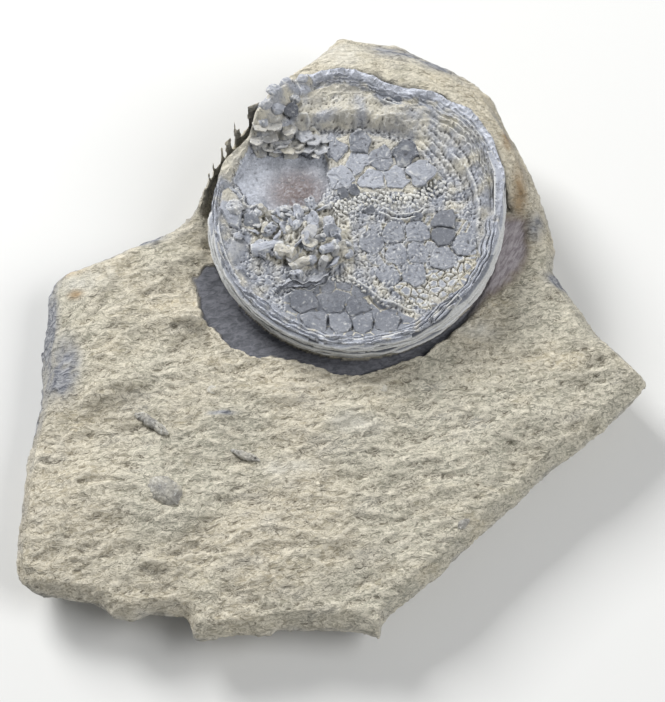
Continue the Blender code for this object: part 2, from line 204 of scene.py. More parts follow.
def become(bm, name, material, slot, *nodes):
    """One finished piece: placed in the frame, riding on the body, standing for its CAD nodes."""
    place(bm)
    bm.normal_update()
    mesh = bpy.data.meshes.new(name)
    bm.to_mesh(mesh)
    bm.free()
    mesh.shade_smooth()
    piece = bpy.data.objects.new(name, mesh)
    bpy.context.collection.objects.link(piece)
    mesh.materials.append(material)
    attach(piece, "root")
    if nodes:
        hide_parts(*nodes)
    mesh.calc_loop_triangles()
    print(f"{name}: {len(mesh.loop_triangles)} triangles")


def cad_copy(node):
    """A CAD node's mesh, its loose triangles merged, in millimetres about the disc's centre."""
    bm = bmesh.new()
    bm.from_mesh(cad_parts[node].data)
    bmesh.ops.remove_doubles(bm, verts=bm.verts, dist=1e-6)
    unplace(bm)
    return bm


# %% [markdown]
# ## Shaders written as sums
#
# A socket wrapped in `Flow` can be added to, subtracted and multiplied like a number, and each sum adds
# its Math node. `Finish` is one material: `add` makes any other node.

# %% Shader class
BUMP_DEPTH = 0.3 * MM


class Flow:
    """A value that runs along a shader link, for use in ordinary sums."""

    def __init__(self, finish, socket):
        self.finish = finish
        self.socket = socket

    def maths(self, operation, first, second):
        return self.finish.add("Math", {"operation": operation}, {0: first, 1: second})

    def __add__(self, other):
        return self.maths("ADD", self, other)

    def __sub__(self, other):
        return self.maths("SUBTRACT", self, other)

    def __rsub__(self, other):
        return self.maths("SUBTRACT", other, self)

    def __mul__(self, other):
        return self.maths("MULTIPLY", self, other)

    def __abs__(self):
        return self.maths("ABSOLUTE", self, 0.0)

    __radd__ = __add__
    __rmul__ = __mul__

    def between(self, start, end):
        """0 at start, 1 at end, smooth between, whichever is the larger."""
        return self.finish.add("MapRange", {"interpolation_type": "SMOOTHSTEP"},
                               {"Value": self, "From Min": start, "From Max": end})


class Finish:
    """One procedural material."""

    def __init__(self, name):
        self.material = bpy.data.materials.new(name)
        self.material.use_nodes = True
        self.tree = self.material.node_tree
        self.surface = self.tree.nodes["Principled BSDF"]

    def add(self, kind, settings=None, values=None, output=0):
        """Any node: its settings first, then the values or links of its sockets."""
        node = self.tree.nodes.new("ShaderNode" + kind)
        for name, value in (settings or {}).items():
            setattr(node, name, value)
        for name, value in (values or {}).items():
            self.join(node.inputs[name], value)
        return Flow(self, node.outputs[output])

    def join(self, socket, value):
        if isinstance(value, Flow):
            self.tree.links.new(value.socket, socket)
        elif isinstance(value, tuple) and len(value) == 3 and socket.type == "RGBA":
            socket.default_value = (*value, 1.0)
        else:
            socket.default_value = value

    def mix(self, base, over, share):
        """One colour laid over another."""
        return self.add("Mix", {"data_type": "RGBA"}, {6: base, 7: over, 0: share}, output=2)

    def tint(self, colour, factor):
        """A colour made lighter or darker by a value."""
        grey = self.add("CombineColor", {}, {0: factor, 1: factor, 2: factor})
        return self.add("Mix", {"data_type": "RGBA", "blend_type": "MULTIPLY"}, {0: 1.0, 6: colour, 7: grey},
                        output=2)

    def place(self):
        return self.add("TexCoord", output="Object")

    def speckle(self, size, detail=2.0, roughness=0.5, turned=0.0, drawn=(1, 1, 1), torn=0.0):
        """Noise whose grains are size millimetres; it can be drawn out, turned about Z and torn."""
        spot = self.add("Mapping", {"vector_type": "TEXTURE"},
                        {"Vector": self.place(), "Rotation": (0, 0, turned), "Scale": drawn})
        return self.add("TexNoise", {}, {"Vector": spot, "Scale": 1 / (size * MM), "Detail": detail,
                                         "Roughness": roughness, "Distortion": torn})

    def mark(self, name):
        return self.add("Attribute", {"attribute_name": name}, output="Fac")

    def tones(self):
        split = self.tree.nodes.new("ShaderNodeSeparateColor")
        attribute = self.tree.nodes.new("ShaderNodeAttribute")
        attribute.attribute_name = "tone"
        self.tree.links.new(attribute.outputs["Color"], split.inputs[0])
        return [Flow(self, socket) for socket in split.outputs] + [Flow(self, attribute.outputs["Alpha"])]

    def wear(self, colour, roughness, bumps, strength):
        """Join the finished colour, roughness and fine relief to the surface."""
        self.join(self.surface.inputs["Base Color"], colour)
        self.join(self.surface.inputs["Roughness"], roughness)
        bump = self.add("Bump", {}, {"Height": bumps, "Strength": strength, "Distance": BUMP_DEPTH},
                        output="Normal")
        self.join(self.surface.inputs["Normal"], bump)
        return self.material


def hue(red, green, blue):
    """A colour given 0 to 255, as the linear shares that shaders use."""
    def linear(value):
        share = value / 255
        return share / 12.92 if share < 0.04 else ((share + 0.055) / 1.055) ** 2.4
    return tuple(linear(value) for value in (red, green, blue))


# %% [markdown]
# ## Mudstone
#
# The slab is cream mudstone that weathers grey. Its broken face is scaly: grains a millimetre long, all
# drawn out the same way, with faint yellow and grey clouds and specks of mica. The grains' tops are
# painted pale as painted highlight, and the hollows between them grey-brown as painted shade, from the
# same noises that make the bumps. Where the disc pulled away from the mud a smooth dark skin shows. The
# sides are bluish, because the cream is only a weathered crust. A Mapping node of the texture kind
# turns the pattern first and stretches it afterwards, which is what makes grains lie aslant.

# %% Mudstone finish
SPLIT = math.radians(9)


def mudstone():
    finish = Finish("mudstone")
    relief = finish.mark("relief")
    skin, grey, stain, chalk = finish.tones()
    clouds = finish.speckle(24, 3.0)
    veins = finish.speckle(6, 4.0, 0.6, SPLIT, (2.2, 1, 1))
    scales = finish.speckle(0.95, 4.0, 0.64, SPLIT, (2.1, 1, 1), 1.1)
    hollows = finish.speckle(3.6, 4.0, 0.65, SPLIT, (1.8, 1, 1), 0.8)
    crests = 1.0 - abs(scales - 0.5) * 4.0
    dust = finish.speckle(0.4, 2.0, 0.7)
    streaks = finish.speckle(0.5, 2.0, 0.6, math.radians(62), (5, 1, 1), 0.3)
    cream = finish.mix(hue(182, 173, 152), hue(170, 167, 151), clouds.between(0.38, 0.62))
    cream = finish.mix(cream, hue(203, 190, 160), veins.between(0.54, 0.72) * 0.5)
    cream = finish.mix(cream, hue(152, 150, 144), veins.between(0.46, 0.3) * 0.6)
    # Painted shade in the slab's hollows and painted highlight on its ridges, from the relief mark.
    cream = finish.mix(cream, hue(116, 109, 94), relief.between(-0.05, -0.8) * 0.75)
    cream = finish.mix(cream, hue(229, 222, 203), relief.between(0.05, 0.8) * 0.6)
    # Painted shade in the low spots of the hollows and between the grain crests, and painted highlight on the
    # crest tops; the same noises raise the bumps.
    cream = finish.mix(cream, hue(114, 109, 97), hollows.between(0.47, 0.28) * 0.75)
    cream = finish.mix(cream, hue(98, 92, 80), crests.between(0.45, -0.3) * 0.75)
    cream = finish.mix(cream, hue(232, 225, 207), crests.between(0.6, 1.0) * 0.7)
    cream = finish.mix(cream, hue(226, 223, 212), chalk * 0.75)
    cream = finish.mix(cream, hue(158, 128, 88), stain * 0.75)
    slate = finish.mix(hue(116, 119, 127), hue(166, 167, 170), scales.between(0.35, 0.65))
    stone = finish.mix(cream, slate, grey)
    dark = finish.mix(hue(82, 84, 90), hue(112, 113, 120), scales.between(0.35, 0.65))
    warm = finish.mix(hue(140, 132, 136), hue(178, 171, 174), streaks.between(0.35, 0.65))
    dark = finish.mix(dark, warm, stain)
    stone = finish.mix(stone, dark, skin)
    stone = finish.tint(stone, dust * 0.5 + 0.75)
    bumps = (crests * 0.9 + scales * 1.2 + hollows * 1.5 + dust * 0.4) * (1.0 - skin * 0.8)
    return finish.wear(stone, 0.95 - skin * 0.2, bumps, 1.0)


MUDSTONE = mudstone()

# %% [markdown]
# ## Calcite
#
# The plates are blue-grey calcite with a matt, finely pitted face. Mud fills the seams, a pale crust
# sits on high spots, and iron has stained one patch brown.

# %% Calcite finish
def calcite(name, clean, cloudy):
    finish = Finish(name)
    relief = finish.mark("relief")
    mud, crust, rust, deep = finish.tones()
    patches = finish.speckle(5, 3.0)
    grit = finish.speckle(0.75, 3.0, 0.65)
    dust = finish.speckle(0.3, 2.0, 0.7)
    stone = finish.mix(clean, cloudy, patches.between(0.35, 0.65))
    # The dark share: dark stone on some plates, and painted shade in the rim's slits, down its wall and under
    # the ledge.
    stone = finish.mix(stone, hue(74, 77, 84), deep * 0.85)
    stone = finish.mix(stone, hue(106, 84, 73), (rust * (0.4 + grit * 0.9)).between(0.1, 0.9) * 0.85)
    stone = finish.mix(stone, hue(198, 202, 212), crust * (0.2 + grit * 0.9))
    fill = finish.mix(hue(201, 196, 181), hue(174, 171, 163), patches.between(0.4, 0.66))
    stone = finish.mix(stone, fill, (mud * 1.5 * (0.4 + grit)).between(0.25, 0.95))
    # Painted shade in the pits of the fine grit and painted highlight on its tops; the same grit makes the
    # bumps.
    stone = finish.mix(stone, hue(92, 92, 94), grit.between(0.42, 0.28) * 0.5)
    stone = finish.mix(stone, hue(224, 224, 222), grit.between(0.57, 0.74) * 0.32)
    # Painted shade in hollows, and ridges painted paler, partly as pale wear and partly as painted highlight,
    # from the relief mark.
    stone = finish.mix(stone, hue(54, 53, 54), relief.between(-0.1, -0.9) * 0.8)
    stone = finish.mix(stone, hue(226, 226, 222), relief.between(0.12, 0.85) * 0.72)
    stone = finish.tint(stone, dust * 0.56 + 0.72)
    return finish.wear(stone, 0.82 - dust * 0.15, grit + dust * 0.7, 0.7)


CALCITE = calcite("calcite", hue(120, 124, 133), hue(150, 153, 160))
PALE_CALCITE = calcite("pale calcite", hue(152, 154, 156), hue(178, 178, 173))
DARK_SHELL = calcite("dark shell", hue(92, 91, 88), hue(120, 116, 107))

# %% [markdown]
# ## The slab
#
# The CAD slab has the right outline but flat facets. A voxel remesh turns its merged copy into even
# quads, which can be pushed about freely; the side that is looked at is then divided once more, so
# that grains of about a millimetre are real shape. Heights come from noise of several grain sizes,
# drawn out along one direction, as the rock split. The moat round the disc is drawn by its outline,
# and its outer side is the CAD slab's own level, found by dropping a ray a little farther out.

# %% Slab shape
SLAB_QUAD = 0.93


def even_mesh(bm, voxel):
    """The same closed shape in even quads, by a voxel remesh."""
    mesh = bpy.data.meshes.new("rough")
    bm.to_mesh(mesh)
    bm.free()
    rough = bpy.data.objects.new("rough", mesh)
    bpy.context.collection.objects.link(rough)
    remesh = rough.modifiers.new("even", "REMESH")
    remesh.mode = "VOXEL"
    remesh.voxel_size = voxel
    shaped = rough.evaluated_get(bpy.context.evaluated_depsgraph_get())
    even = bmesh.new()
    even.from_mesh(shaped.to_mesh())
    bpy.data.objects.remove(rough)
    return even


def widen_shelf(bm):
    """The shelf that the rim lies on is carried inward and down at the left back, out of sight."""
    for vert in bm.verts:
        share = arc_share(compass(vert.co.x, vert.co.y) % 360, 136, 198, 12)
        if share and vert.co.xy.length < 31.9 and vert.co.z > 12:
            vert.co.xy *= 1 - 0.09 * share
            vert.co.z -= 2.2 * share * ease(18, 20, vert.co.z)


rough_slab = cad_copy("matrix_slab")
SLAB_TREE = BVHTree.FromBMesh(rough_slab)
widen_shelf(rough_slab)
MOAT = [(-31.5, -9.0), (-34.9, -11.5), (-34.0, -16.7), (-31.5, -22.9), (-26.3, -27.5), (-22.2, -30.0),
        (-17.0, -29.9), (-11.9, -31.2), (-6.7, -33.1), (-2.6, -34.2), (2.5, -33.6), (6.1, -32.4),
        (11.2, -31.4), (16.4, -28.4), (23.3, -22.4), (29.1, -15.6), (36.0, -10.3), (37.2, -5.7),
        (36.9, 0.8), (32.2, 1.9), (24.0, 0.0), (14.0, -18.0), (-10.0, -20.0), (-26.0, -8.0)]


def moat_share(x, y):
    """1 in the moat, 0 on the rough stone, with a ragged edge between."""
    ragged = 0.9 * grain(x, y, 4.0, 3) + 0.6 * grain(x, y, 1.5, 5)
    blur = 0.35 + 1.1 * ease(20, 30, x)
    return ease(-blur, blur, inside(x, y, MOAT) + ragged * ease(31.6, 33.6, math.hypot(x, y)))


def slab_level(x, y):
    """The CAD slab's height beyond the moat, straight out from the disc."""
    out = max(1.0, 39.5 / math.hypot(x, y))
    hit = SLAB_TREE.ray_cast(Vector((x * out, y * out, 100)), Vector((0, 0, -1)))[0]
    return hit.z if hit else SEAT - 1


def crest_radius(angle):
    """Where the rim's crest runs: out behind on the left, in at the middle, out again on the right."""
    radius = 31.0 + 1.5 * bell(angle, 100, 16) - 1.9 * bell(angle, 73, 13)
    radius += 0.5 * grain(angle / 9, 2, 1) if angle > 0 else 0.0
    return radius + 2.0 * bell(angle, 34, 24) - 2.4 * bell(angle, 143, 9)


def bank_share(angle):
    return arc_share(angle, 32, 140, 45)


# %% [markdown]
# Larger forms that belong to single places come next: scarps, where one bed breaks off above another,
# are lines with a cliff on one side; knobs are mounds, some with a steep side towards the front.

# %% Grains, scarps and knobs
SPLIT_X, SPLIT_Y = math.cos(SPLIT), math.sin(SPLIT)
SCARPS = [([(-27, -36.5), (-22.6, -37.8), (-17, -39.2), (-12.1, -38.7)], 0.9),
          ([(-7.9, -41.2), (-2, -42.6), (3, -42.9), (6.8, -42.2)], 0.8),
          ([(-62, -47), (-57, -41), (-51, -37), (-45, -36)], 0.9),
          ([(-55, -66), (-47, -64), (-38, -66), (-31, -70)], 0.6),
          ([(-20, -58), (-12, -61), (-4, -60), (6, -63)], 0.6),
          ([(14, -44), (22, -42), (30, -36), (36, -27)], 0.6),
          ([(38.5, -37), (35, -49), (36.8, -58)], 0.5),
          ([(-49, -3), (-53, -12), (-60, -22), (-65, -29)], 0.9)]
KNOBS = [(-36.0, -22.5, 4.6, 3.0, 1.9), (-42.6, -75.5, 4.2, 3.0, 1.4), (16.1, -52.9, 4.2, 2.2, 1.0),
         (-40.0, -60.5, 6.5, 5.0, 0.8), (-30.0, -38.4, 3.0, 2.4, 0.7), (2.6, -37.0, 6.0, 2.6, 0.9),
         (-24.0, -44.0, 9.0, 2.6, 0.6), (0.5, -46.5, 9.0, 3.0, 0.7), (-6.0, -71.0, 8.0, 3.0, 0.7),
         (28.0, -33.0, 7.0, 2.6, 0.7), (-52.0, -57.0, 7.0, 2.6, 0.7)]


def slab_grit(x, y):
    """Height of the broken face's grains."""
    along = (x * SPLIT_X + y * SPLIT_Y) / 1.9
    across = y * SPLIT_X - x * SPLIT_Y + 1.6 * grain(x, y, 9, 21)
    height = 1.3 * grain(x, y, 17, 3) + 0.9 * grain(x / 1.6, y - 0.3 * x, 6, 2)
    height += 0.45 * crisp(along, across, 3.4, 1) + 0.3 * grain(along, across, 2.0, 5)
    height += 0.30 * crisp(along, across, 1.5, 7)
    return height + 0.16 * crisp(along, across, 0.8, 11)


def slab_forms(x, y):
    height = 0.0
    for path, drop in SCARPS:
        away, where = path_reach(x, y, path)
        if away < 4:
            step = 0.6 * grain(x, y, 3.0, 5)
            height += drop * bell(away + step, 0.6, 1.3) * math.sin(math.pi * min(0.95, max(0.05, where)))
    for knob_x, knob_y, half_x, half_y, rise in KNOBS:
        steep = half_y * (0.6 if y < knob_y else 1.3)
        height += rise * mound(x, y, knob_x, knob_y, half_x, steep)
    return height


def shape_slab(bm):
    """Push every point to its place and return the four tones that go with it."""
    tones = {}
    for vert in bm.verts:
        x, y, z = vert.co
        radius, angle = math.hypot(x, y), compass(x, y)
        upward = ease(0.25, 0.8, vert.normal.z)
        bank = bank_share(angle)
        skin = 0.0
        if 30.5 < radius < 40.5 and z > 11.5 and -172 < angle < 12 and vert.normal.z > -0.2:
            skin = moat_share(x, y)
            share = ease(12, 2, angle) * ease(-172, -164, angle)
            floor = SEAT - 0.9 + lean(y) + 1.3 * ease(22, 31, x)
            if radius > 31.3:
                drawn = slab_level(x, y) * (1 - skin) + floor * skin
                z += (drawn - z) * share
                upward = max(upward, share)
        calm = 1 - 0.5 * mound(x, y, -56, -14, 17, 15) - 0.6 * bank
        lift = (1 - skin) * upward * (calm * slab_grit(x, y) + slab_forms(x, y))
        lift += bank * upward * 0.12 * math.sin(radius * 4.5 + 2 * grain(x, y, 9))
        lift += skin * (0.10 * grain(x, y, 2.5) + 0.04 * grain(x, y, 0.7))
        side = (1 - upward) * ease(0.4, 2.5, z)
        bedding = 0.6 * grain(angle / 7, z * 1.5, 1.0, 4) + 0.5 * crisp(x + y, 1.6 * z, 3.4, 8)
        push = side * (0.6 * bedding + 0.35 * noise.noise(vert.co / 1.2))
        vert.co.z = z + lift
        vert.co.xy += vert.normal.xy * push
        if radius < 34.4 and bank > 0.05 and z > SEAT + 1:
            inward = (radius - crest_radius(angle) - 0.8) * ease(34.4, 33.0, radius) * bank
            inward *= ease(136, 126, angle)
            vert.co.xy -= Vector((x, y)) / radius * inward
        tones[vert.index] = slab_tone(x, y, z, skin, side)
    return tones


# %% [markdown]
# The slab's four tones are placed by the same few mounds: bluish grey where the rind has gone, brown
# iron stain beside the disc, and chalky scraped patches.

# %% Slab colours
GREY_PATCHES = [(9, 40.0, 8.5, 4.6), (18.5, 36.5, 7, 4.0), (39, -1, 3.0, 5), (-66, -22, 3.5, 14),
                (-45, -2, 6, 2.6), (44, -12, 6, 3), (-28, -43.5, 5, 0.9), (-62, -33, 6, 12)]
STAINS = [(35.5, 6.5, 2.6, 9.5), (-60, -15, 3, 2), (-62, -9, 6, 2), (33, 17, 2, 5)]
CHALKS = [(0.5, -45.5, 9, 3.5), (-14, -55, 9, 3.0), (-58, -12, 9, 5), (26, -24, 7, 4), (-3, 38, 10, 6),
          (43, 11, 6, 14)]


def highest(x, y, places):
    return max(mound(x, y, *spread) for spread in places)


def slab_tone(x, y, z, skin, side):
    patchy = 0.5 + 0.9 * grain(x, y, 6, 31) + 0.5 * grain(x + z, y - z, 1.8, 33)
    grey = 1.3 * highest(x, y, GREY_PATCHES)
    left_side = side * ease(-40, -60, x) * ease(-60, -35, y)
    grey = min(1.0, max(0.0, grey * (0.5 + patchy) + left_side * 0.9 + side * 0.55 * patchy))
    stain = highest(x, y, STAINS) * (0.4 + patchy)
    stain = max(stain, skin * ease(22, 30, x))
    chalk = highest(x, y, CHALKS) * (0.3 + patchy)
    return (skin, grey, min(1.0, max(0.0, stain)), min(1.0, max(0.0, chalk)))


def make_slab():
    bm = even_mesh(rough_slab, SLAB_QUAD)
    bm.normal_update()
    upper = {face for face in bm.faces if face.normal.z > 0.35}
    edges = {edge for face in upper for edge in face.edges}
    bmesh.ops.subdivide_edges(bm, edges=list(edges), cuts=1, use_grid_fill=True)
    bmesh.ops.triangulate(bm, faces=[face for face in bm.faces if len(face.verts) > 4])
    bm.normal_update()
    bm.verts.index_update()
    tones = shape_slab(bm)
    mark_relief(bm, 5, 0.20)
    layer = bm.verts.layers.float_color.new("tone")
    for vert in bm.verts:
        vert[layer] = tones[vert.index]
    become(bm, "mudstone_slab", MUDSTONE, "mudstone", "matrix_slab")


make_slab()

# %% [markdown]
# ## The disc's upper side
#
# Seen from above nothing on the disc overhangs much, so it is a fine grid cut round, lifted by one
# height function. `disc_plan` holds the big forms: the floor, the rising rim, the folded lip behind
# with a second swelling inside it, and the heap beside the mouth. The swelling's inner side is steep,
# so it throws a shadow at its foot.

# %% The disc's big forms
def fold_share(angle):
    return arc_share(angle, 14, 132, 24)


def swell_foot(x, y):
    """Where the swelling starts to rise, in millimetres from the middle."""
    angle = compass(x, y)
    ragged = 0.9 * grain(x, y, 4.5, 41) + 0.6 * grain(x, y, 1.5, 42)
    return 20.3 + 4.9 * bell(angle, 0, 20) + 5.0 * ease(108, 128, angle) + ragged


LOBES = [(-18.4, 21.4, 3.0, 2.4), (-16.6, 24.8, 2.9, 2.6), (-14.4, 27.4, 2.6, 1.8), (-11.4, 28.2, 2.3, 1.4),
         (-15.2, 19.6, 2.4, 1.6), (-12.2, 20.6, 2.6, 1.3), (-19.0, 18.2, 2.2, 1.3), (-9.4, 18.2, 2.2, 0.9)]


def lobe_lift(x, y):
    """Round lobes with steep sides, the tallest one counting where they meet."""
    if x > -6 or y < 15:
        return 0.0
    lift = 0.0
    shift_x, shift_y = 0.8 * grain(x, y, 2.4, 44), 0.8 * grain(x, y, 2.4, 45)
    for lobe_x, lobe_y, size, rise in LOBES:
        away = math.hypot(x - lobe_x + shift_x, y - lobe_y + shift_y) / size
        if away < 1:
            lift = max(lift, rise * math.sqrt(1 - away * away))
    return lift


def disc_plan(x, y):
    radius, angle = math.hypot(x, y), compass(x, y)
    fold = fold_share(angle)
    crest = crest_radius(angle) + 0.5 * fold * grain(x, y, 1.7, 43)
    low = arc_share(angle, 146, 172, 10)
    height = FLOOR + (CREST - FLOOR) * ease(24.0, crest, radius) * (1 - 0.45 * low)
    height += 1.2 * arc_share(angle, -42, 28, 25) * ease(17, 28, radius)
    back = ease(20, 50, angle)
    lip = 0.7 * ease(crest - 3.8, crest - 0.6, radius)
    height += fold * (lip + (0.3 + 0.9 * back) * bell(radius, crest, 1.1))
    foot = swell_foot(x, y)
    way = (radius - foot) / max(1.0, crest_radius(angle) - 3.2 - foot)
    steep = 0.42 + 0.55 * ease(84, 45, angle)
    swelling = 3.2 * ease(-0.05, steep, way) * (1.0 - 0.3 * min(1.0, way * way)) * ease(1.35, 0.9, way)
    height += fold * swelling * ease(126, 112, angle)
    height += 1.6 * mound(x, y, -16.5, 22.5, 8.5, 7.0) + lobe_lift(x, y)
    height += 2.2 * mound(x, y, -10, -6, 13, 10)
    return height


# %% [markdown]
# Then the patches. Each is a closed line of points: the dark bare patch on the left, the sunken front
# pocket under its ledge, the heap of loose pieces, the mosaic, and so on.

# %% Patches
DARK_PATCH = [(-27.9, 9.8), (-27.0, 12.1), (-25.4, 14.4), (-23.1, 16.0), (-19.9, 17.0), (-17.6, 16.4),
              (-15.2, 15.3), (-12.8, 15.4), (-10.5, 14.3), (-7.3, 14.1), (-4.9, 12.7), (-4.7, 9.8),
              (-5.8, 6.4), (-6.8, 4.4), (-8.6, 2.2), (-10.9, 0.8), (-13.0, 1.8), (-15.6, 1.3),
              (-18.0, 1.3), (-20.3, 2.7), (-23.2, 2.7), (-24.4, 5.3), (-25.6, 7.0)]
POCKET = [(-15.5, -18.6), (-12.5, -16.6), (-8.7, -16.3), (-5.8, -15.4), (-1.5, -15.4), (2.4, -17.4),
          (4.6, -20.0), (9.5, -22.4), (12.8, -24.2), (9.0, -27.4), (2.0, -28.6), (-5.0, -28.0),
          (-11.0, -26.0), (-14.8, -22.4)]
HEAP = [(-23, -1), (-20, 1.5), (-12, 2.5), (-4, 2.5), (-1.5, 0.0), (-0.5, -6), (-0.5, -10.5), (-6, -12.5),
        (-12, -12.5), (-17, -11), (-22, -8)]
MOSAIC = [(1.5, -2.5), (8, -1.5), (15, 0), (21, 1.5), (24.5, -2), (25, -8), (20, -12.5), (12, -14.5),
          (6, -14.5), (1.5, -9)]
SMALL_PLATES = [(7.5, -16.5), (13, -14.5), (20, -12.5), (25.0, -8), (26.6, -11.0), (22.5, -18), (15.5, -22.5),
                (12, -20.5)]
UPPER_FIELD = [(-7, 17.2), (1, 19.2), (6.5, 18.2), (11, 15.8), (16, 11), (18.5, 8.6), (12, 5.5), (5, 6),
               (-3, 4.5), (-5, 8)]
BIG_PLATE = [(-28.4, 5.0), (-27.2, 5.9), (-25.4, 4.2), (-24.3, 0.4), (-24.9, -3.3), (-27.0, -3.0),
             (-29.0, 0.4)]
BLOB = [(-26.4, -5.7), (-23.4, -5.9), (-22.6, -7.7), (-24.6, -11.4), (-26.6, -11.0), (-27.6, -8.0)]
COVER_ARCS = [([(4.6, 1.0), (7.8, -0.8), (10.8, -1.3), (13.8, -0.1), (16.0, 1.6)], 0.35, 0.9),
              ([(5.6, 2.0), (8.2, 0.3), (11.0, -0.1), (13.8, 1.0), (15.6, 2.8)], 0.3, 0.7),
              ([(-27.0, -11.6), (-22.7, -18.8), (-16.3, -24.0), (-9.5, -27.2)], 0.45, 0.7),
              ([(-25.4, -12.6), (-21.0, -19.4), (-15.0, -24.4)], 0.35, 0.5),
              ([(19.0, 15.5), (22.6, 11.0), (25.4, 6.0), (26.4, 0.5), (25.8, -5.0)], 0.5, 0.6),
              ([(-2.5, -13.8), (2.4, -16.6), (5.2, -19.4), (9.6, -21.0), (13.0, -22.6)], 0.35, 0.8)]


def layered(value, sharp=0.25):
    """A saw of pages: a quick rise, a flat top and a slow fall."""
    part = value - math.floor(value)
    return ease(0.0, sharp, part) * ease(1.0, 0.62, part)


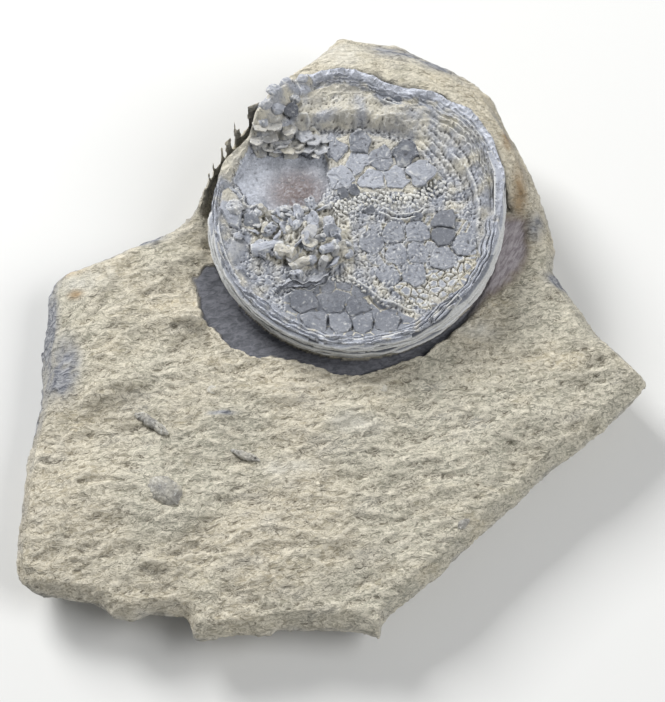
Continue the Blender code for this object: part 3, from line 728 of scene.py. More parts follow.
def disc_detail(x, y):
    """Fine relief of the upper side, and its tone: mud, crust, rust, deep."""
    radius, angle = math.hypot(x, y), compass(x, y)
    fold = fold_share(angle)
    foot = swell_foot(x, y)
    crest = crest_radius(angle) + 0.5 * fold * grain(x, y, 1.7, 43)
    fine = 0.15 * crisp(x, y, 0.6, 9)
    turn = angle % 360
    seam, own = cells(x + 0.5 * grain(x, y, 1.3, 33), y + 0.5 * grain(x, y, 1.3, 34), 1.15, 2)
    height = 0.24 * ease(0.0, 0.4, seam) + 0.30 * own + 0.6 * grain(x, y, 2.4, 4) + fine
    height += 0.25 * crisp(x, y, 1.0, 35)
    mud, crust, rust, deep = 0.30 + 0.6 * grain(x, y, 3.2, 14), 0.35, 0.0, 0.05

    def lay(share, new_height, new_mud, new_crust=0.3, new_deep=0.0, new_rust=0.0):
        nonlocal height, mud, crust, deep, rust
        height += (new_height - height) * share
        mud += (new_mud - mud) * share
        crust += (new_crust - crust) * share
        deep += (new_deep - deep) * share
        rust += (new_rust - rust) * share

    inner_line = 27.4 + 1.6 * arc_share(turn, 165, 215, 12) + 0.8 * grain(x, y, 5, 36)
    front = (1 - fold) * arc_share(turn, 172, 352, 8) * ease(inner_line, inner_line + 1.0, radius)
    if front:
        page = radius * 1.25 + turn * 0.022 + 1.7 * grain(x, y, 9, 12) + 0.6 * grain(x, y, 2.4, 13)
        broken = 0.45 + 0.9 * abs(grain(x, y, 3.0, math.floor(page) * 1.7))
        sheet = broken * layered(page, 0.2) + 0.4 * grain(x, y, 2.5, 15) + 1.3 * fine
        # Painted shade: the gaps between the pages are painted dark in the dark share, with their crust and
        # mud taken off.
        gap = ease(0.45, 0.05, sheet)
        lay(front, 1.25 * sheet, 0.2 + 0.6 * grain(x, y, 2, 7) - 0.5 * gap, 1.0 - 0.9 * gap, 0.75 * gap)
    blur = 0.3 + 0.9 * ease(-9, -5.5, x)
    patch = ease(-blur, blur, inside(x, y, DARK_PATCH) + 0.45 * crisp(x, y, 0.9, 4))
    if patch:
        iron = ease(10.5, 1.0, math.hypot((x + 12.5) / 1.2, y - 5.8))
        pale = (0.75 + 0.5 * ease(-16, -27, x) + 0.3 * ease(11, 14.5, y)) * (1 - 0.75 * iron)
        mottle = 0.55 * grain(x, y, 1.0, 51) + 0.6 * grain(x, y, 0.5, 52) + 0.4 * grain(x, y, 2.6, 53)
        bare = -0.8 + 0.1 * crisp(x, y, 0.6) + 0.3 * grain(x, y, 5)
        lay(patch, bare, 0.02, pale + mottle, 0.0, iron * (1 + mottle))
    tiles = ease(-0.6, 0.8, inside(x, y, MOSAIC))
    if tiles:
        seam, own = cells(x, y, 2.9, 5)
        rough = 0.3 * ease(0.0, 0.45, seam) + 0.2 * own + 0.24 * crisp(x, y, 0.85, 3) + fine + 0.15
        lay(tiles, rough, 0.25 + 0.6 * ease(0.4, 0.1, seam), 0.3, 0.4 * own)
    chips = ease(-0.4, 0.4, inside(x, y, SMALL_PLATES))
    if chips:
        seam, own = cells(x, y, 1.75, 8)
        lay(chips, 0.55 * ease(0.0, 0.35, seam) + 0.5 * own + fine, 1.0 * ease(0.5, 0.2, seam), 0.35, 0.1)
    upper = ease(-0.8, 0.6, inside(x, y, UPPER_FIELD))
    if upper:
        lay(upper, 0.45 + 0.25 * crisp(x, y, 1.1) + fine, 0.85, 0.2)
    heap = ease(-0.8, 1.2, inside(x, y, HEAP))
    if heap:
        burst = 0.8 * grain(x, y, 2.6, 2) + 0.5 * crisp(x, y, 1.2, 5) + fine
        lay(heap, burst, 0.85 + 0.5 * grain(x, y, 2.0, 3))
    pocket = ease(-0.15, 0.35, inside(x, y, POCKET))
    if pocket:
        seam, own = cells(x + 1.5, y, 3.6, 6)
        smooth = 0.35 - 1.7 * mound(x, y, -2, -21.5, 17, 8)
        smooth += 0.2 * ease(0.0, 0.3, seam) + 0.2 * own + 0.06 * crisp(x, y, 0.6)
        lay(pocket, smooth, 0.8 * ease(0.35, 0.1, seam), 0.12, 0.35)
    block = ease(-0.3, 0.3, inside(x, y, BIG_PLATE))
    if block:
        lay(block, 1.3 + 0.12 * crisp(x, y, 1.2) + fine * 0.5, 0.1 + 0.9 * ease(1.6, 3.6, y), 0.55)
    blob = ease(-0.8, 1.6, inside(x, y, BLOB))
    if blob:
        lay(blob, 0.9 + 0.1 * grain(x, y, 2.0) + fine * 0.7, 0.35, 0.35, 0.1)
    if fold:
        slope = fold * ease(foot - 0.2, foot + 0.5, radius) * ease(66, 44, angle)
        slope *= ease(crest, crest - 1.5, radius)
        rows = 0.35 + 0.5 * ease(26.5, 29.0, radius)
        rows *= layered(radius * 0.8 + 0.9 * grain(x, y, 7, 6) + 0.3 * grain(x, y, 1.6, 8), 0.3)
        rows += 0.24 * crisp(x, y, 1.0, 2) + 0.22 * grain(x, y, 0.7, 37) + 0.3 * grain(x, y, 3.0, 39)
        lay(slope, rows + fine, 0.42 + 0.45 * grain(x, y, 3, 5), 0.5, 0.05)
        sandy = fold * ease(foot - 0.2, foot + 0.6, radius) * ease(crest - 2.6, crest - 3.6, radius)
        sandy *= ease(44, 66, angle)
        soft = 0.9 * grain(x, y, 4.2, 5) + 0.26 * crisp(x, y, 1.6) + 0.2 * crisp(x, y, 0.7)
        lay(sandy, soft, 0.62 + 0.6 * grain(x, y, 3.4, 16), 0.45)
        groove = fold * ease(crest - 3.4, crest - 2.6, radius) * ease(crest - 0.7, crest - 1.3, radius)
        groove *= ease(30, 60, angle)
        lines = 0.6 * layered(radius * 1.2 + 1.6 * grain(x, y, 4, 6)) + 0.4 * crisp(x, y, 1.1)
        trough = ease(88, 104, angle)
        lay(groove, lines - 0.3 - 0.7 * trough, 0.25 + 0.6 * grain(x, y, 2, 18), 0.35, 0.3 + 0.5 * trough)
        shade = fold * bell(radius, foot - 0.1, 0.9) * ease(46, 66, angle)
        lay(0.8 * shade, 0.5 * crisp(x, y, 1.0, 38) + 0.3 * crisp(x, y, 0.6), 0.35, 0.1, 0.6)
        bead = fold * min(1.0, 1.5 * bell(radius, crest + 0.1, 1.0))
        lay(bead, 0.9 * grain(x, y, 2.4, 22) + 0.45 * crisp(x, y, 1.2, 23) + fine, -0.2, 1.5, 0.0)
    lump = ease(0.1, 0.8, lobe_lift(x, y))
    if lump:
        lay(lump, 0.35 * crisp(x, y, 1.7, 46) + fine, 0.45 + 0.5 * grain(x, y, 2.6, 47), 0.5)
    ledge = arc_share(turn, 136, 161, 6) * ease(27.4, 28.0, radius + 0.5 * crisp(x, y, 0.9, 4))
    if ledge:
        lay(ledge, 0.7 + 0.35 * crisp(x, y, 1.6, 24) + fine, 0.95, 0.2)
    for path, width, rise in COVER_ARCS:
        away, where = path_reach(x, y, path)
        if away < 4 * width:
            ridge = bell(away, 0.0, width) * ease(0, 0.1, where) * ease(1, 0.9, where)
            height += rise * ridge
            crust += 0.3 * ridge
    return height, (max(0.0, mud), crust, rust, min(1.0, deep))


# %% [markdown]
# The grid's spacing is a fifth of a millimetre, fine enough for the seams between plates. Its edge is
# snapped to a circle, drawn down and closed below, so the piece is a solid disc.

# %% Upper side piece
GRID_STEP = 0.2
OVERLAP = 0.15


def make_upper_side():
    bm = bmesh.new()
    steps = round(2 * ORAL / GRID_STEP)
    bmesh.ops.create_grid(bm, x_segments=steps, y_segments=steps, size=ORAL)
    outside = [vert for vert in bm.verts if vert.co.xy.length > ORAL]
    bmesh.ops.delete(bm, geom=outside, context="VERTS")
    loose = [vert for vert in bm.verts if len(vert.link_faces) == 0]
    bmesh.ops.delete(bm, geom=loose, context="VERTS")
    tones = {}
    for vert in bm.verts:
        x, y = vert.co.xy
        if vert.is_boundary:
            x, y = vert.co.xy.normalized() * (ORAL + OVERLAP)
        height, tone = disc_detail(x, y)
        vert.co = (x, y, disc_plan(x, y) + height + lean(y))
        tones[(round(x, 3), round(y, 3))] = tone
    mark_relief(bm, 6, 0.16)
    paint(bm, lambda spot: tones[(round(spot.x, 3), round(spot.y, 3))])
    border = [edge for edge in bm.edges if edge.is_boundary]
    skirt = bmesh.ops.extrude_edge_only(bm, edges=border)["geom"]
    for item in skirt:
        if isinstance(item, bmesh.types.BMVert):
            item.co.z = SEAT + 0.4 + lean(item.co.y)
    bmesh.ops.contextual_create(bm, geom=[item for item in skirt if isinstance(item, bmesh.types.BMEdge)])
    bmesh.ops.recalc_face_normals(bm, faces=bm.faces)
    become(bm, "plated_upper_surface", CALCITE, "plated_calcite", "oral_surface")


make_upper_side()

# %% [markdown]
# ## The rim
#
# The rim is a ring of thin overlapping layers, like the pages of a damp book. A straight line of points
# is spun into a tube, whose height is the way around the rim's section, and the tube is then bent to
# that section: out over the top, down the wall, which draws in towards its foot, and back below. This
# is the core; the single sheets that stand out of its wall come afterwards.

# %% Rim core
def ring_noise(turn, waves, layer):
    """Noise round a circle, with no seam where the circle closes."""
    return noise.noise(Vector((math.cos(turn) * waves, math.sin(turn) * waves, layer)))


def rim_pages(angle, run):
    """How far the pages stand out at a place along the section, in millimetres."""
    turn = math.radians(angle)
    drift = 1.1 * ring_noise(turn, 1.6, 0.5 + run * 0.05)
    drift += 0.35 * ring_noise(turn, 6, 3)
    count = run / 0.8 + drift
    swing = ring_noise(turn, 2.2, math.floor(count) * 5.7)
    chipped = ring_noise(turn, 22, math.floor(count) * 3.1)
    return (0.30 + 0.55 * swing + 0.2 * chipped) * layered(count)


def make_rim():
    bm = bmesh.new()
    rows, steps = 104, 880
    bmesh.ops.create_grid(bm, x_segments=1, y_segments=rows, size=0.5)
    spare = [vert for vert in bm.verts if vert.co.x > 0]
    bmesh.ops.delete(bm, geom=spare, context="VERTS")
    for vert in bm.verts:
        vert.co = (1, 0, (vert.co.y + 0.5))
    bmesh.ops.spin(bm, geom=bm.verts[:] + bm.edges[:], cent=(0, 0, 0), axis=(0, 0, 1),
                   angle=2 * math.pi, steps=steps, use_merge=True)
    top_end, wall_end, under_end = 0.46, 0.93, 0.97
    inner = ORAL - OVERLAP
    bottom = SEAT + 0.3
    tones = {}
    for vert in bm.verts:
        way = vert.co.z
        x, y = vert.co.xy.normalized()
        angle = compass(x, y)
        open_side = 1 - fold_share(angle)
        lip = crest_radius(angle) + 0.55 - 1.0 * open_side
        flare = 0.35 * open_side
        foot = min(lip, RIM) - 0.9
        if way <= top_end:
            radius = inner + (lip - inner) * way / top_end
            height, tone = disc_detail(x * radius, y * radius)
            z = disc_plan(x * radius, y * radius) + height
        elif way <= wall_end:
            share = (way - top_end) / (wall_end - top_end)
            height, tone = disc_detail(x * lip, y * lip)
            top = disc_plan(x * lip, y * lip) + height * ease(0.25, 0.0, share)
            z = top - (top - bottom) * share
            radius = lip + flare * ease(0.0, 0.4, share) + (foot - lip - flare) * ease(0.4, 1.0, share)
            radius += ease(0.0, 0.08, share) * (1.4 * rim_pages(angle, 7.0 * share) - 0.5)
            mud = tone[0] * ease(0.4, 0.0, share)
            # Painted shade: the wall below the top, seen in the slits between the sheets, is painted fully
            # dark.
            tone = (mud + 0.05, tone[1] * ease(0.3, 0.0, share), 0.0, 1.0 * ease(0.0, 0.12, share))
        elif way <= under_end:
            share = (way - wall_end) / (under_end - wall_end)
            radius = foot + (inner - foot) * share
            z = bottom
            tone = (0.3, 0.2, 0.0, 0.3)
        else:
            share = (way - under_end) / (1 - under_end)
            radius = inner
            height, tone = disc_detail(x * radius, y * radius)
            z = bottom + (disc_plan(x * radius, y * radius) + height - bottom) * share
        vert.co = (x * radius, y * radius, z + lean(y * radius))
        tones[tuple(round(value, 3) for value in vert.co)] = tone
    mark_relief(bm, 6, 0.2)
    paint(bm, lambda spot: tones[tuple(round(value, 3) for value in spot)])
    bmesh.ops.remove_doubles(bm, verts=bm.verts, dist=0.002)
    bmesh.ops.recalc_face_normals(bm, faces=bm.faces)
    become(bm, "layered_rim", CALCITE, "layered_calcite", "peripheral_rim")


make_rim()

# %% [markdown]
# Each sheet is a strip of grid bent round the disc: it starts inside the wall, comes out, runs along it
# at its own height, rising or falling a little, and goes back in. `solidify` gives it a thickness. Over
# eighty of them, crossing each other, leave slits that make the wall look stacked; the lower sheets and
# some of the others are painted dark as painted shade for those slits.

# %% Rim sheets
SHEETS = 84


def drift_noise(*spot):
    """Noise at any three numbers."""
    return noise.noise(Vector(spot))


def rim_sheet(chance):
    """One thin sheet standing out of the rim's wall, and its level, 0 at the top."""
    bm = bmesh.new()
    spread = chance.uniform(24, 72)
    middle = chance.uniform(-176, 4)
    level = chance.uniform(0.0, 1.0) ** 1.3
    climb = chance.uniform(-1.1, 1.1)
    stand = chance.uniform(0.35, 1.05)
    steps = round(spread * 1.5)
    bmesh.ops.create_grid(bm, x_segments=steps, y_segments=4, size=0.5)
    wave = chance.uniform(0, 50)
    for vert in bm.verts:
        along, across = vert.co.x + 0.5, vert.co.y + 0.5
        angle = middle + spread * (along - 0.5)
        turn = math.radians(angle)
        lip = crest_radius(angle) - 0.45
        ends = ease(0.0, 0.2, along) * ease(1.0, 0.8, along)
        wall = lip + 0.45 * ease(0.0, 0.4, level) - 1.5 * ease(0.4, 1.0, level)
        edge = 0.3 * drift_noise(turn * 9, wave, level) + 0.12 * drift_noise(turn * 40, wave, 1)
        radius = wall - 1.3 + (1.3 + (stand + edge) * ends) * across
        top = disc_plan(math.cos(turn) * lip, math.sin(turn) * lip)
        z = top + 0.25 - (top - SEAT - 0.9) * level + climb * (along - 0.5)
        z += 0.3 * drift_noise(turn * 6, wave, 5) - 0.5 * across
        vert.co = (radius * math.cos(turn), radius * math.sin(turn), z + lean(radius * math.sin(turn)))
    bmesh.ops.solidify(bm, geom=bm.faces[:], thickness=chance.uniform(0.18, 0.42))
    return bm, level


def gather(parts):
    """Many small meshes as one, with the tone that each was given."""
    whole = bmesh.new()
    tones = []
    for part, tone in parts:
        bmesh.ops.recalc_face_normals(part, faces=part.faces)
        mark_relief(part, 3, 0.12)
        mesh = bpy.data.meshes.new("part")
        part.to_mesh(mesh)
        part.free()
        whole.from_mesh(mesh)
        tones += [tone] * len(mesh.vertices)
        bpy.data.meshes.remove(mesh)
    layer = whole.verts.layers.float_color.new("tone")
    for vert, tone in zip(whole.verts, tones):
        vert[layer] = tone
    return whole


def make_sheets():
    chance = random.Random(11)
    parts = []
    for _ in range(SHEETS):
        sheet, level = rim_sheet(chance)
        # Painted shade: the lower a sheet sits on the wall the darker it is; the random dark ones are partly
        # dark calcite and partly painted shade between the bands.
        dark = max(chance.choice((0.0, 0.0, 0.2, 0.7, 1.0)), 0.9 * ease(0.45, 0.8, level))
        mud, crust = chance.uniform(0.0, 0.3) * (1 - dark), (1 - dark) * chance.uniform(0.6, 1.4)
        parts.append((sheet, (mud, crust, 0.0, dark)))
    become(gather(parts), "rim_sheets", CALCITE, "layered_calcite")


make_sheets()

# %% [markdown]
# ## Single plates
#
# The large plates that stand out singly are the CAD plates with worn edges: each copy is made of clean
# polygons again, its edges are bevelled, its faces divided, and a little noise takes the flatness off.

# %% Plates
WORN_EDGE = 0.18
PLATE_EDGE = 0.42


def divide(bm, longest):
    """Cut every edge longer than the given length until none is left, in three rounds at most."""
    bmesh.ops.triangulate(bm, faces=bm.faces)
    for _ in range(3):
        long = [edge for edge in bm.edges if edge.calc_length() > longest]
        if long:
            bmesh.ops.subdivide_edges(bm, edges=long, cuts=1)
            bmesh.ops.triangulate(bm, faces=bm.faces)


def roughen(bm, wear):
    soften(bm, 0.4)
    bm.normal_update()
    for vert in bm.verts:
        x, y, z = vert.co
        vert.co += vert.normal * wear * (crisp(x, y, 0.85, z) + 0.7 * grain(x, y, 0.45, z))


def worn_copy(node, sink, wear):
    """The CAD node as a worn piece, let into the surface by sink millimetres."""
    bm = cad_copy(node)
    bmesh.ops.dissolve_limit(bm, angle_limit=math.radians(3), verts=bm.verts, edges=bm.edges)
    bmesh.ops.bevel(bm, geom=bm.edges[:], offset=WORN_EDGE, segments=2, profile=0.5, affect="EDGES",
                    material=-1)
    divide(bm, PLATE_EDGE)
    roughen(bm, wear)
    bmesh.ops.translate(bm, vec=(0, 0, -sink), verts=bm.verts)
    return bm


def worn_plate(node, material, slot, sink, wear=0.1, deep=0.0, mud=0.15, crust=0.15, tip=0.0, ragged=0.5):
    """A CAD plate as the real one: worn, tipped a few degrees, with a ragged outline."""
    bm = worn_copy(node, sink, wear)
    middle = sum((vert.co for vert in bm.verts), Vector()) / len(bm.verts)
    for vert in bm.verts:
        x, y = vert.co.xy
        vert.co.x += ragged * grain(x, y, 2.2, middle.x)
        vert.co.y += ragged * grain(x, y, 2.2, middle.y + 9)
    bmesh.ops.rotate(bm, cent=middle, matrix=Matrix.Rotation(math.radians(tip), 3, "X"), verts=bm.verts)
    mark_relief(bm, 4, 0.12)
    paint(bm, lambda spot: (max(0.0, mud + 0.2 * grain(spot.x, spot.y, 2.2)), crust, 0.0, deep))
    become(bm, node + "_worn", material, slot, node)


nodes = sorted(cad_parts)
DARKNESS = {"upper_plate_1": 0.3, "upper_plate_2": 0.1, "upper_plate_3": 0.5, "upper_plate_4": 0.7,
            "upper_plate_5": 0.0, "upper_plate_6": 0.15, "upper_plate_7": 0.2, "upper_plate_8": 0.05,
            "upper_plate_9": 0.6, "right_plate_1": 0.85, "right_plate_2": 0.75, "right_plate_9": 0.35}
plate_chance = random.Random(5)
for node in nodes:
    sink, shade = plate_chance.uniform(0, 0.3), plate_chance.uniform(0, 0.35)
    dust = plate_chance.uniform(0, 0.3)
    if node.startswith("upper_plate"):
        dark = DARKNESS[node]
        worn_plate(node, CALCITE, "plated_calcite", 0.2 + 1.6 * sink, 0.12, dark, 0.3 * dust,
                   0.68 - 0.7 * dark, 40 * (sink - 0.15), 1.2)
    if node.startswith("lower_plate"):
        worn_plate(node, CALCITE, "plated_calcite", 0.42 + 0.5 * sink, 0.08, 0.4 + 0.9 * shade,
                   0.1 * dust, 0.12)
    if node.startswith("right_plate"):
        smooth = node in ("right_plate_1", "right_plate_2")
        dark = DARKNESS.get(node, 0.1 + shade)
        if smooth:
            worn_plate(node, CALCITE, "plated_calcite", 0.1, 0.05, dark, 0.0, 0.15)
        else:
            worn_plate(node, CALCITE, "plated_calcite", 0.25 + sink, 0.15, dark, 0.12, 0.3)
    if node.startswith("scale_plate"):
        worn_plate(node, CALCITE, "pale_calcite", 1.5, 0.12, 0.0, 0.45, 0.6, 14 + 40 * sink)
    if node.startswith("loose_ossicle"):
        worn_plate(node, CALCITE, "pale_calcite", 0.8 + sink, 0.25, 0.0, 0.1 + dust, 0.7)
    if node.startswith("crinoid_ossicle"):
        worn_plate(node, DARK_SHELL, "pale_calcite", 0.8, 0.1, 0.0, 0.8)
    if node.startswith(("bryozoan_twig", "shell_fragment")):
        worn_plate(node, DARK_SHELL, "dark_shell", 0.7, 0.1, 0.2, 0.45)

# %% [markdown]
# ## Food grooves
#
# Each arm's food groove was roofed by two rows of small cover plates, which close over it like the
# teeth of a zip. The CAD ridge is the groove's body; rows of small domes of uneven sizes run along it,
# every second row half a step on. The domes sit on the disc's own height function, so they follow its
# lean.

# %% Cover plates
def disc_top(x, y):
    return disc_plan(x, y) + lean(y)


def dome(spot, size, turn):
    """A small rounded plate, longer than wide."""
    bm = bmesh.new()
    bmesh.ops.create_icosphere(bm, subdivisions=2, radius=1.0)
    bmesh.ops.scale(bm, vec=(size, 0.72 * size, 0.7 * size), verts=bm.verts)
    bmesh.ops.rotate(bm, cent=(0, 0, 0), matrix=Matrix.Rotation(turn, 3, "Z"), verts=bm.verts)
    bmesh.ops.translate(bm, vec=spot, verts=bm.verts)
    roughen(bm, 0.2)
    return bm


def cover_plates(node, path, offsets, spacing, size, lift):
    """Domes in rows along a path, joined with the worn CAD ridge under them."""
    chance = random.Random(len(node))
    ridge = worn_copy(node, 1.3, 0.3)
    for vert in ridge.verts:
        vert.co.z -= 2.5 * ease(16.0, 19.5, vert.co.x)
    parts = [(ridge, (0.4, 0.4, 0.0, 0.2))]
    for row, offset in enumerate(offsets):
        for start, end in zip(path, path[1:]):
            run = Vector(end) - Vector(start)
            side = Vector((-run.y, run.x)).normalized()
            count = max(1, round(run.length / spacing))
            for step in range(count):
                share = (step + 0.5 * (row % 2)) / count
                share += chance.uniform(-0.25, 0.25) / count
                spot = Vector(start) + run * share + side * (offset + chance.uniform(-0.28, 0.28))
                across = math.atan2(side.y, side.x) + chance.uniform(-0.9, 0.9)
                level = disc_top(*spot) + lift + chance.uniform(-0.3, 0.2) - 0.3 * abs(offset)
                spot = (spot.x, spot.y, level)
                tone = (chance.uniform(0.0, 0.9), chance.uniform(0.0, 0.5), 0.0,
                        chance.choice((0.0, 0.0, 0.5)))
                parts.append((dome(spot, size * chance.uniform(0.6, 1.2), across), tone))
    become(gather(parts), node + "_cover_plates", PALE_CALCITE, "pale_calcite", node)


UPPER_GROOVE = [(-4.7, 1.2), (0.9, 3.5), (5.4, 4.1), (9.0, 3.2), (12.0, 3.6), (15.7, 5.6), (19.5, 8.4)]
LOWER_GROOVE = [(-5.6, -14.2), (-1.0, -15.0), (2.4, -17.0), (4.9, -19.4), (8.6, -20.4), (14.5, -20.4),
                (19.6, -18.2)]
cover_plates("upper_ambulacrum", UPPER_GROOVE, (-1.4, -0.5, 0.45, 1.3), spacing=1.05, size=0.55, lift=0.75)
cover_plates("lower_ambulacrum", LOWER_GROOVE, (-0.4, 0.5), spacing=1.0, size=0.45, lift=0.6)

# %% [markdown]
# ## Rubble
#
# Beside the mouth the skin has burst and its pieces lie in a heap: thin plates on edge, short tubes and
# knobs, from half a millimetre to two. They come from three starting shapes, each bevelled, divided,
# smoothed and roughened, then tipped at random and half sunk in the mud. The largest have chosen
# places, and so have the lumps at the upper left, which are made of the same pieces.

# %% Rubble pieces
PIECES = 74
CHOSEN = [("tube", -18.8, -8.0, 2.6, 10, 84), ("tube", -15.0, -9.2, 2.9, 340, 80),
          ("knob", -20.3, -7.0, 1.9, 0, 0), ("plate", -10.2, -7.2, 2.0, 60, 18),
          ("tube", -19.2, -3.4, 1.7, 100, 75), ("knob", -20.9, 0.2, 1.5, 0, 0),
          ("plate", -9.0, -1.9, 1.7, 200, 40), ("plate", -6.6, 1.2, 1.7, 120, 65),
          ("plate", -13.7, -2.8, 1.6, 30, 62), ("plate", -5.2, -4.4, 1.7, 290, 50),
          ("knob", -9.2, -11.0, 1.7, 0, 30), ("tube", -6.2, -8.6, 1.9, 210, 70),
          ("plate", -3.4, -8.4, 1.8, 250, 35), ("tube", -12.4, 0.4, 1.6, 95, 70),
          ("plate", -16.4, -5.4, 1.5, 150, 60), ("tube", -11.4, -11.6, 1.9, 20, 82),
          ("knob", -25.0, -5.2, 1.6, 0, 10), ("knob", -1.4, -9.4, 1.5, 0, 0)]


def fragment(kind, size, chance):
    """A worn piece about its own middle."""
    bm = bmesh.new()
    if kind == "plate":
        bmesh.ops.create_circle(bm, cap_ends=True, segments=chance.randint(5, 7), radius=size)
        for vert in bm.verts:
            vert.co *= chance.uniform(0.75, 1.15)
        top = bmesh.ops.extrude_face_region(bm, geom=bm.faces[:])["geom"]
        raised = [item for item in top if isinstance(item, bmesh.types.BMVert)]
        bmesh.ops.translate(bm, vec=(0, 0, 0.18 + 0.1 * size), verts=raised)
    elif kind == "tube":
        bmesh.ops.create_cone(bm, cap_ends=True, segments=9, radius1=0.5 * size, radius2=0.42 * size,
                              depth=chance.uniform(1.2, 2.4) * size)
    else:
        bmesh.ops.create_icosphere(bm, subdivisions=1, radius=0.7 * size)
        bmesh.ops.scale(bm, vec=(1.0, chance.uniform(0.6, 0.95), 0.75), verts=bm.verts)
    bmesh.ops.recalc_face_normals(bm, faces=bm.faces)
    bmesh.ops.bevel(bm, geom=bm.edges[:], offset=0.09, segments=1, profile=0.5, affect="EDGES", material=-1)
    divide(bm, 0.4)
    for _ in range(3):
        soften(bm)
    return bm


def set_down(bm, x, y, lift, turn, tip, wear):
    """A piece turned, tipped and laid on the disc, a little out of true."""
    tilt = Matrix.Rotation(math.radians(turn), 3, "Z") @ Matrix.Rotation(math.radians(tip), 3, "Y")
    bmesh.ops.rotate(bm, cent=(0, 0, 0), matrix=tilt, verts=bm.verts)
    bmesh.ops.translate(bm, vec=(x, y, disc_top(x, y) + lift), verts=bm.verts)
    for vert in bm.verts:
        vert.co += 0.35 * noise.noise_vector(vert.co / 1.4)
    roughen(bm, wear)
    return bm


def make_rubble():
    chance = random.Random(23)
    parts = []
    for kind, x, y, size, turned, tip in CHOSEN:
        piece = set_down(fragment(kind, 1.15 * size, chance), x, y, 1.0, turned, tip, 0.12)
        parts.append((piece, (chance.choice((0.0, 0.0, 0.6)), chance.uniform(0.4, 0.9), 0.0, 0.0)))
    while len(parts) < PIECES:
        x, y = chance.uniform(-24, 0.5), chance.uniform(-13.5, 3)
        if inside(x, y, HEAP) > 0.2:
            kind = chance.choice(("plate", "plate", "tube", "knob"))
            size = chance.uniform(0.8, 2.1)
            piece = set_down(fragment(kind, size, chance), x, y, chance.uniform(0.0, 0.9),
                             chance.uniform(0, 360), chance.uniform(5, 80), 0.12)
            tone = (chance.choice((0.0, 0.2, 0.4, 0.6)), chance.uniform(0.3, 0.9), 0.0,
                    chance.choice((0, 0, 0.3)))
            parts.append((piece, tone))
    become(gather(parts), "mouth_rubble", CALCITE, "pale_calcite")


LUMPS = [(-19.2, 22.8, 1.9), (-17.6, 26.0, 1.7), (-19.8, 19.8, 1.6), (-15.0, 28.4, 1.4), (-13.2, 25.4, 1.4),
         (-16.8, 22.8, 1.7), (-11.4, 29.8, 1.3)]
DARK_CHIPS = [(-13.8, 22.6, 1.9, 0.95), (3.0, 1.0, 1.3, 0.5), (-0.2, 5.6, 1.5, 0.6), (-2.6, 5.0, 1.5, 0.5),
              (0.9, 18.4, 1.5, 0.45), (13.4, -0.6, 1.2, 0.4)]
SCALES = [(-20.4, 18.4, 1.7, 250), (-17.4, 19.2, 1.9, 265), (-14.2, 18.6, 1.8, 285), (-18.6, 17.0, 1.8, 255),
          (-11.0, 18.0, 2.0, 280), (-15.8, 16.6, 2.1, 270), (-12.6, 16.4, 2.0, 300), (-9.0, 16.8, 1.8, 275),
          (-10.2, 15.4, 1.7, 290), (-7.4, 15.2, 1.8, 280), (-8.4, 13.9, 1.3, 270), (-6.4, 17.6, 1.6, 260),
          (-21.2, 16.4, 1.8, 255), (-19.0, 15.7, 1.9, 265), (-16.9, 15.1, 1.7, 260), (-14.6, 15.3, 1.9, 275),
          (-12.3, 15.2, 1.6, 285)]


def make_lumps():
    """The broken upper left end of the swelling, a few dark chips, and the scales above the bare patch."""
    chance = random.Random(31)
    parts = []
    for x, y, size in LUMPS:
        piece = set_down(fragment("knob", size * 1.7, chance), x, y, -0.3, chance.uniform(0, 360), 20, 0.14)
        parts.append((piece, (chance.uniform(0.2, 0.5), 0.6, 0.0, 0.0)))
    for x, y, size, deep in DARK_CHIPS:
        piece = set_down(fragment("plate", size, chance), x, y, 1.5 if y > 20 else 0.8, 290, 26, 0.1)
        parts.append((piece, (0.0, 0.1, 0.0, deep)))
    for x, y, size, turn in SCALES:
        piece = set_down(fragment("plate", 1.15 * size, chance), x, y, 0.9, turn - 180, 22, 0.1)
        parts.append((piece, (chance.uniform(0.3, 0.6), 0.65, 0.0, 0.0)))
    become(gather(parts), "fold_lumps", CALCITE, "pale_calcite")


# %% [markdown]
# The ledge is three thin crumpled flakes that hang over the pocket, one behind another. Each is a strip
# of grid laid along a line, torn at its free edge and curled up a little, with a thickness from
# `solidify`.

# %% Ledge
LEDGE = [(-17.0, -18.2), (-15.4, -17.0), (-13.6, -16.6), (-11.3, -16.9), (-8.7, -16.5), (-6.3, -15.4),
         (-5.0, -13.2)]


def ledge_flake(shift, lift, reach, seed):
    """One flake along the ledge's line, moved back by shift and up by lift."""
    bm = bmesh.new()
    bmesh.ops.create_grid(bm, x_segments=70, y_segments=10, size=0.5)
    for vert in bm.verts:
        along, across = vert.co.x + 0.5, vert.co.y + 0.5
        leg = min(len(LEDGE) - 2, int(along * (len(LEDGE) - 1)))
        spot = Vector(LEDGE[leg]).lerp(Vector(LEDGE[leg + 1]), along * (len(LEDGE) - 1) - leg)
        ends = math.sin(math.pi * along) ** 0.5
        torn = 0.6 * drift_noise(along * 9, seed, 1) + 0.25 * drift_noise(along * 30, seed, 2)
        x, y = spot + Vector((0.3, 1)).normalized() * (across * reach * ends + shift - torn * (1 - across))
        wave = 0.55 * drift_noise(along * 8, across, seed)
        z = disc_top(x, y) + lift + 0.45 * bell(across, 0.0, 0.25) + wave - 0.7 * across
        vert.co = (x, y, z)
    bmesh.ops.solidify(bm, geom=bm.faces[:], thickness=0.24)
    return bm


def make_ledge():
    flakes = [(ledge_flake(0.0, 0.55, 2.6, 2.0), (0.1, 0.55, 0.0, 0.2)),
              (ledge_flake(0.9, 1.0, 2.2, 5.5), (0.3, 0.5, 0.0, 0.0)),
              # Painted shade: the lowest flake is painted darker, as the shade under the ledge.
              (ledge_flake(-0.5, 0.05, 2.2, 8.2), (0.0, 0.3, 0.0, 0.5))]
    become(gather(flakes), "pocket_ledge", CALCITE, "pale_calcite")


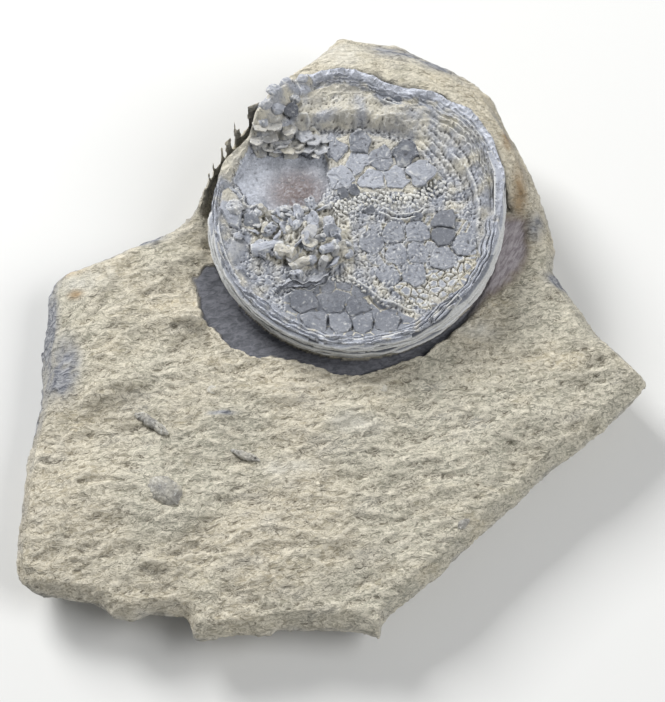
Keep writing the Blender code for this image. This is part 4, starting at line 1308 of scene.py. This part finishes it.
make_rubble()
make_lumps()
make_ledge()

# %% [markdown]
# ## Floor, light and camera
#
# The slab lies on a pale floor and is seen from well above. The main light comes from behind on the
# left, low enough to draw out the grain, and a larger, weaker one fills from the right.

# %% Floor
def make_floor():
    bm = bmesh.new()
    bmesh.ops.create_grid(bm, x_segments=1, y_segments=1, size=1.5)
    mesh = bpy.data.meshes.new("floor")
    bm.to_mesh(mesh)
    bm.free()
    finish = Finish("floor")
    finish.join(finish.surface.inputs["Base Color"], hue(226, 226, 224))
    finish.join(finish.surface.inputs["Roughness"], 0.9)
    mesh.materials.append(finish.material)
    floor = bpy.data.objects.new("floor", mesh)
    bpy.context.collection.objects.link(floor)


make_floor()


# %% Lights and camera
VIEW_HEIGHT = math.radians(66)
VIEW_DISTANCE = 0.55
LENS = 133


def area_light(name, spot, aim, size, power):
    light = bpy.data.lights.new(name, "AREA")
    light.size = size
    light.energy = power
    lamp = bpy.data.objects.new(name, light)
    bpy.context.collection.objects.link(lamp)
    lamp.location = spot
    lamp.rotation_euler = (Vector(aim) - Vector(spot)).to_track_quat("-Z", "Y").to_euler()


target = CENTRE + Vector((-4.9, -29.0, 17)) * MM
area_light("key", target + Vector((-0.45, 0.55, 0.5)), target, 0.35, 8.6)
area_light("fill", target + Vector((0.6, -0.15, 0.7)), target, 0.6, 5.2)
world = bpy.data.worlds.new("studio")
bpy.context.scene.world = world
world.use_nodes = True
sky = world.node_tree.nodes["Background"].inputs
sky["Color"].default_value = (0.95, 0.97, 1.0, 1)
sky["Strength"].default_value = 0.22

camera = bpy.data.objects.new("camera", bpy.data.cameras.new("camera"))
bpy.context.collection.objects.link(camera)
camera.location = target + VIEW_DISTANCE * Vector((0, -math.cos(VIEW_HEIGHT), math.sin(VIEW_HEIGHT)))
camera.rotation_euler = (target - camera.location).to_track_quat("-Z", "Y").to_euler()
camera.data.lens = LENS
camera.data.clip_start = 0.01
bpy.context.scene.camera = camera
bpy.context.scene.view_settings.view_transform = "Standard"
